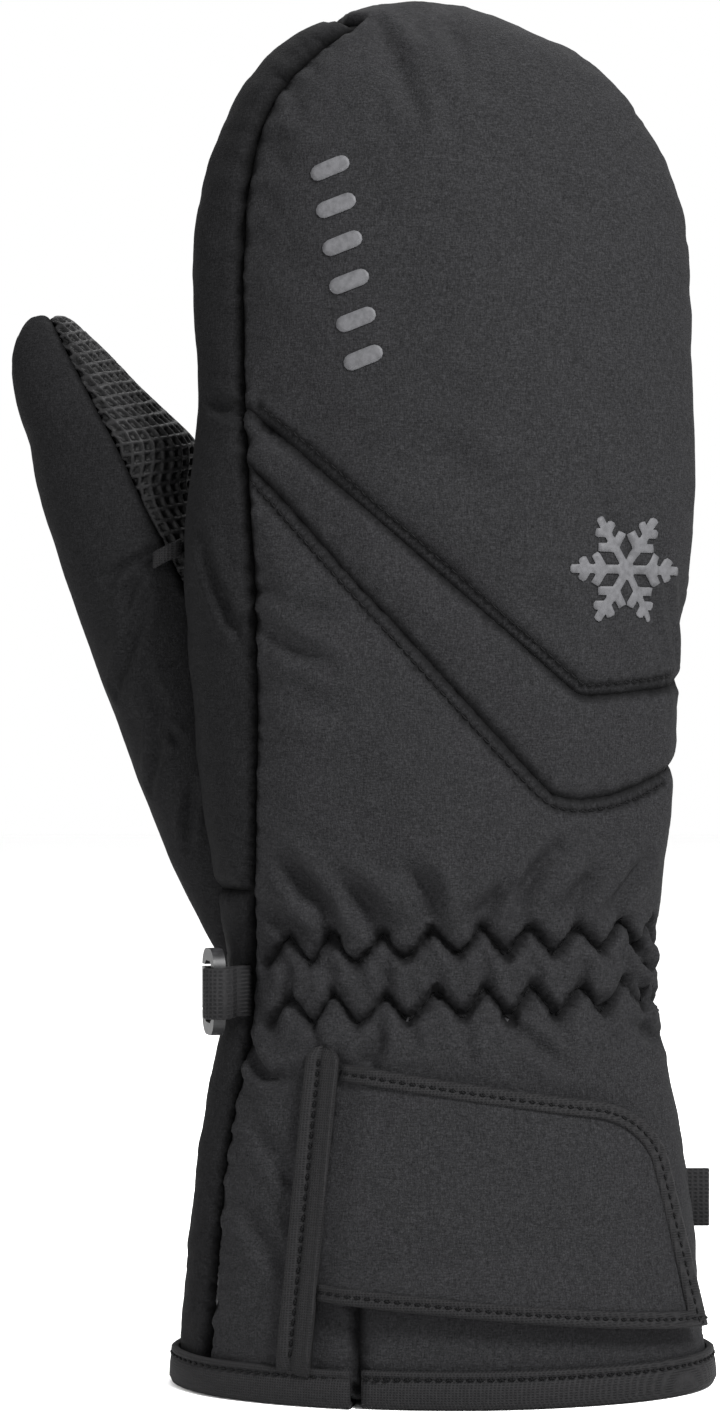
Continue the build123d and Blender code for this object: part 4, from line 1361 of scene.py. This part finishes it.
class Paint:
    """A procedural material: its shader's constants, with noise and weave added node by node."""

    def __init__(self, name, roughness, specular, sheen=0.0):
        self.material = bpy.data.materials.new(name)
        self.material.use_nodes = True
        self.tree = self.material.node_tree
        self.shader = self.tree.nodes["Principled BSDF"]
        self.shader.inputs["Roughness"].default_value = roughness
        self.shader.inputs["Specular IOR Level"].default_value = specular
        self.shader.inputs["Sheen Weight"].default_value = sheen
        self.shader.inputs["Sheen Roughness"].default_value = 0.5
        self.place = self.tree.nodes.new("ShaderNodeTexCoord").outputs["Object"]
        self.height = None

    def link(self, output, socket):
        self.tree.links.new(output, socket)

    def node(self, kind, values, links):
        """A new node, with values and links set on its inputs."""
        made = self.tree.nodes.new("ShaderNode" + kind)
        for socket, value in values.items():
            made.inputs[socket].default_value = value
        for socket, output in links.items():
            self.link(output, made.inputs[socket])
        return made

    def noise(self, size, detail=3.0, place=None):
        """Noise with lumps about size millimetres across."""
        values = {"Scale": 1 / (size * MM), "Detail": detail}
        made = self.node("TexNoise", values, {"Vector": self.place if place is None else place})
        return made.outputs["Fac"]

    def streaks(self, size, stretch):
        """Noise drawn out along the axes whose stretch is above one."""
        mapping = self.node("Mapping", {"Scale": [1 / k for k in stretch]}, {"Vector": self.place})
        return self.noise(size, 1.0, mapping.outputs["Vector"])

    def attribute(self, name):
        made = self.node("Attribute", {}, {})
        made.attribute_name = name
        return made.outputs["Fac"]

    def threads(self, spacing, turn=(0, 0, 0), distortion=0.4):
        """Parallel threads, spacing millimetres apart."""
        mapping = self.node("Mapping", {"Rotation": [math.radians(a) for a in turn]}, {"Vector": self.place})
        per_metre = 1 / (spacing * MM)
        values = {
            "Scale": per_metre * BANDS_PER_UNIT, "Distortion": distortion, "Detail Scale": per_metre / 12,
        }
        made = self.node("TexWave", values, {"Vector": mapping.outputs["Vector"]})
        made.bands_direction = "X"
        return made.outputs["Fac"]

    def mixed(self, one, other, operation="MULTIPLY"):
        """Two numbers or outputs put together by a sum."""
        made = self.node("Math", {}, {})
        made.operation = operation
        for value, socket in zip((one, other), made.inputs):
            if isinstance(value, float):
                socket.default_value = value
            else:
                self.link(value, socket)
        return made.outputs["Value"]

    def colours(self, factor, *stops):
        """Colours the surface by a factor: stops of (position, colour)."""
        ramp = self.node("ValToRGB", {}, {"Fac": factor})
        elements = ramp.color_ramp.elements
        while len(elements) < len(stops):
            elements.new(0.5)
        for element, (position, colour) in zip(elements, stops):
            element.position = position
            element.color = (*colour, 1)
        self.link(ramp.outputs["Color"], self.shader.inputs["Base Color"])

    def roughness(self, factor, low, high):
        """Lets the roughness vary between two values."""
        spread = self.node("MapRange", {"To Min": low, "To Max": high}, {"Value": factor})
        self.link(spread.outputs["Result"], self.shader.inputs["Roughness"])

    def bump(self, height, depth, strength=1.0):
        """Adds relief, depth millimetres deep, over any that is there already."""
        links = {"Height": height} if self.height is None else {"Height": height, "Normal": self.height}
        made = self.node("Bump", {"Distance": depth * MM, "Strength": strength}, links)
        self.height = made.outputs["Normal"]
        self.link(self.height, self.shader.inputs["Normal"])


def grey(value, warmth=0.0):
    return (value * (1 + warmth), value, value * (1 + 0.06 - warmth))


def softshell_paint(name, tone):
    """Matte stretch softshell: a fine, slightly uneven plain weave."""
    paint = Paint(name, 0.85, 0.03)
    warp, weft = paint.streaks(0.24, (1, 1, 5)), paint.streaks(0.24, (5, 5, 1))
    weave = paint.mixed(paint.mixed(warp, 0.5), paint.mixed(weft, 0.5), "ADD")
    grain = paint.noise(0.32, 2.0)
    speck = paint.mixed(paint.mixed(weave, 0.55), paint.mixed(grain, 0.45), "ADD")
    # painted shade: the colour is darkened along the seams' grooves
    shade_multiplier = paint.mixed(1.0, paint.mixed(paint.attribute("painted_shade"), 0.62), "SUBTRACT")
    paint.colours(
        paint.mixed(speck, shade_multiplier),
        (0.12, grey(tone * 0.12)), (0.36, grey(tone * 0.55)), (0.5, grey(tone)), (0.66, grey(tone * 1.8)),
    )
    paint.roughness(paint.noise(6.0), 0.72, 0.95)
    paint.bump(weave, 0.12)
    paint.bump(grain, 0.10, 0.8)
    paint.bump(paint.noise(5.0), 0.25, 0.6)
    return paint.material


def grip_paint():
    """Supple coated palm and thumb leather, darker and glossier than the cloth."""
    paint = Paint("grip_leather", 0.45, 0.09)
    grain = paint.noise(0.9, 5.0)
    # painted shade: darkens the colour along the grip seam and in the hollows of the grid
    shade_multiplier = paint.mixed(1.0, paint.mixed(paint.attribute("painted_shade"), 0.85), "SUBTRACT")
    shade = paint.mixed(grain, shade_multiplier)
    paint.colours(shade, (0.05, grey(0.001)), (0.3, grey(0.003)), (0.6, grey(0.0065, 0.02)))
    paint.roughness(paint.noise(1.4, 4.0), 0.4, 0.6)
    paint.bump(grain, 0.10)
    return paint.material


def binding_paint(name, tone, rib):
    """Woven tape: fine ribs across and a slight sheen."""
    paint = Paint(name, 0.75, 0.05)
    ribs = paint.threads(rib, (0, 90, 0), 0.3)
    cross = paint.threads(rib, (0, 0, 45), 0.3)
    weave = paint.mixed(ribs, cross, "MAXIMUM")
    shade = paint.mixed(weave, paint.noise(0.6))
    paint.colours(shade, (0.1, grey(tone * 0.6)), (0.6, grey(tone * 1.3, 0.02)))
    paint.bump(weave, 0.09)
    return paint.material


def fleece_paint():
    """Brushed fleece: soft, curly and very matte."""
    paint = Paint("fleece_pile", 0.95, 0.03, 0.25)
    curls = paint.noise(1.1, 6.0)
    paint.colours(curls, (0.3, grey(0.008)), (0.7, grey(0.03)))
    paint.bump(curls, 0.6)
    paint.bump(paint.noise(4.0), 0.8, 0.5)
    return paint.material


def hook_and_loop_paint():
    """Hook-and-loop tape: a dense mat of small loops."""
    paint = Paint("hook_and_loop_pile", 0.8, 0.1, 0.1)
    mat = paint.mixed(paint.noise(0.5, 6.0), paint.threads(1.1, (0, 90, 0), 1.5))
    paint.colours(mat, (0.1, grey(0.004)), (0.6, grey(0.02)))
    paint.bump(mat, 0.5)
    return paint.material


def hook_paint():
    """Glossy moulded acetal, with faint flow marks."""
    paint = Paint("moulded_plastic", 0.4, 0.2)
    wear = paint.noise(1.6, 4.0)
    paint.colours(wear, (0.35, grey(0.006)), (0.7, grey(0.016)))
    paint.roughness(wear, 0.34, 0.55)
    paint.bump(paint.noise(0.5), 0.02)
    return paint.material


def print_paint():
    """Matte grey transfer film, a little worn."""
    paint = Paint("transfer_film", 0.6, 0.15)
    wear = paint.noise(1.2, 5.0)
    paint.colours(wear, (0.3, grey(0.036)), (0.6, grey(0.052)))
    paint.bump(paint.noise(0.5, 2.0), 0.05)
    return paint.material


def thread_paint():
    """Twisted polyester thread."""
    paint = Paint("thread_polyester", 0.6, 0.03)
    twist = paint.threads(0.3, (0, 45, 30), 0.5)
    paint.colours(twist, (0.2, grey(0.001)), (0.8, grey(0.005)))
    paint.bump(twist, 0.06)
    return paint.material


softshell = softshell_paint("softshell_cloth", 0.0086)
softshell_dark = softshell_paint("softshell_cloth_dark", 0.0046)
grip = grip_paint()
tape_paint = binding_paint("woven_binding", 0.0078, 0.5)
webbing_paint = binding_paint("grosgrain_webbing", 0.0085, 0.8)
fleece = fleece_paint()
hook_and_loop = hook_and_loop_paint()
plastic = hook_paint()
film_paint = print_paint()
thread = thread_paint()
FINISH = (  # material, the record's slot, and the pieces that have them
    (softshell, "softshell", ("back_upper", "back_stripe", "back_lower", "strap_face")),
    (softshell_dark, "softshell_dark", ("index_gusset_skin", "cuff_palm_skin", "thumb_skin")),
    (grip, "grip", ("palm_skin", "thumb_grip_skin")),
    (tape_paint, "binding", ("strap_binding_tape", "strap_root_ribbon", "hem_tape", "crotch_tape_end")),
    (fleece, "fleece", ("fleece_lining",)),
    (webbing_paint, "webbing", ("hook_webbing",)),
    (webbing_paint, "label", ("side_label_tab",)),
    (film_paint, "print", ("snowflake_print", *(bar.name for bar in bars))),
    (plastic, "hook", ("hook_frame_moulding",)),
    (thread, "binding", ("strap_thread", "cuff_thread", "panel_thread")),
)
for material, slot, names in FINISH:
    for name in names:
        piece = bpy.data.objects[name]
        piece.data.materials.clear()
        piece.data.materials.append(material)
for material, nodes in (
    (hook_and_loop, ("loop_patch", "strap_hook_patch")),
    (plastic, ("hook_gate", "hook_gate_pin")),
):
    for node in nodes:
        for material_slot in frame["nodes"][node].material_slots:
            material_slot.material = material

# ---- Camera, light and floor --------------------------------------------------------------------
CAMERA = (-16.8, -700.0, 134.8)
VIEW_HEIGHT = 282.8  # how much the camera sees of the mitten's middle plane, from top to bottom
SENSOR = 36

camera = linked("camera", bpy.data.cameras.new("camera"))
camera.location = Vector(CAMERA) * MM
camera.rotation_euler = (math.radians(90), 0, 0)
camera.data.sensor_width = SENSOR
camera.data.lens = SENSOR * -CAMERA[1] / VIEW_HEIGHT
bpy.context.scene.camera = camera


def area_light(name, place, aim, size, power):
    data = bpy.data.lights.new(name, "AREA")
    data.energy = power
    data.size = size
    light = linked(name, data)
    light.location = place
    light.rotation_euler = (Vector(aim) - Vector(place)).to_track_quat("-Z", "Y").to_euler()


area_light("key", (0.5, -0.62, 0.85), (0, 0, 0.14), 0.28, 36)
area_light("fill", (-0.9, -0.6, 0.4), (0, 0, 0.13), 0.5, 6)
area_light("top", (0.0, 0.3, 0.9), (0, 0, 0.16), 0.6, 8)
world = bpy.data.worlds.new("studio")
world.use_nodes = True
background = world.node_tree.nodes["Background"]
background.inputs["Color"].default_value = (1, 1, 1, 1)
background.inputs["Strength"].default_value = 1.0
bpy.context.scene.world = world
bpy.context.scene.view_settings.view_transform = "Standard"

FLOOR = 6.0
corners = np.array([(-1, -1, 0), (1, -1, 0), (1, 1, 0), (-1, 1, 0)]) * FLOOR / 2 / MM
floor = new_piece("floor", corners, [(0, 1, 2, 3)], False)
floor_paint = Paint("floor_paint", 0.9, 0.2)
floor_paint.colours(floor_paint.noise(300.0), (0.3, (0.93, 0.93, 0.93)), (0.7, (0.95, 0.95, 0.95)))
floor.data.materials.append(floor_paint.material)
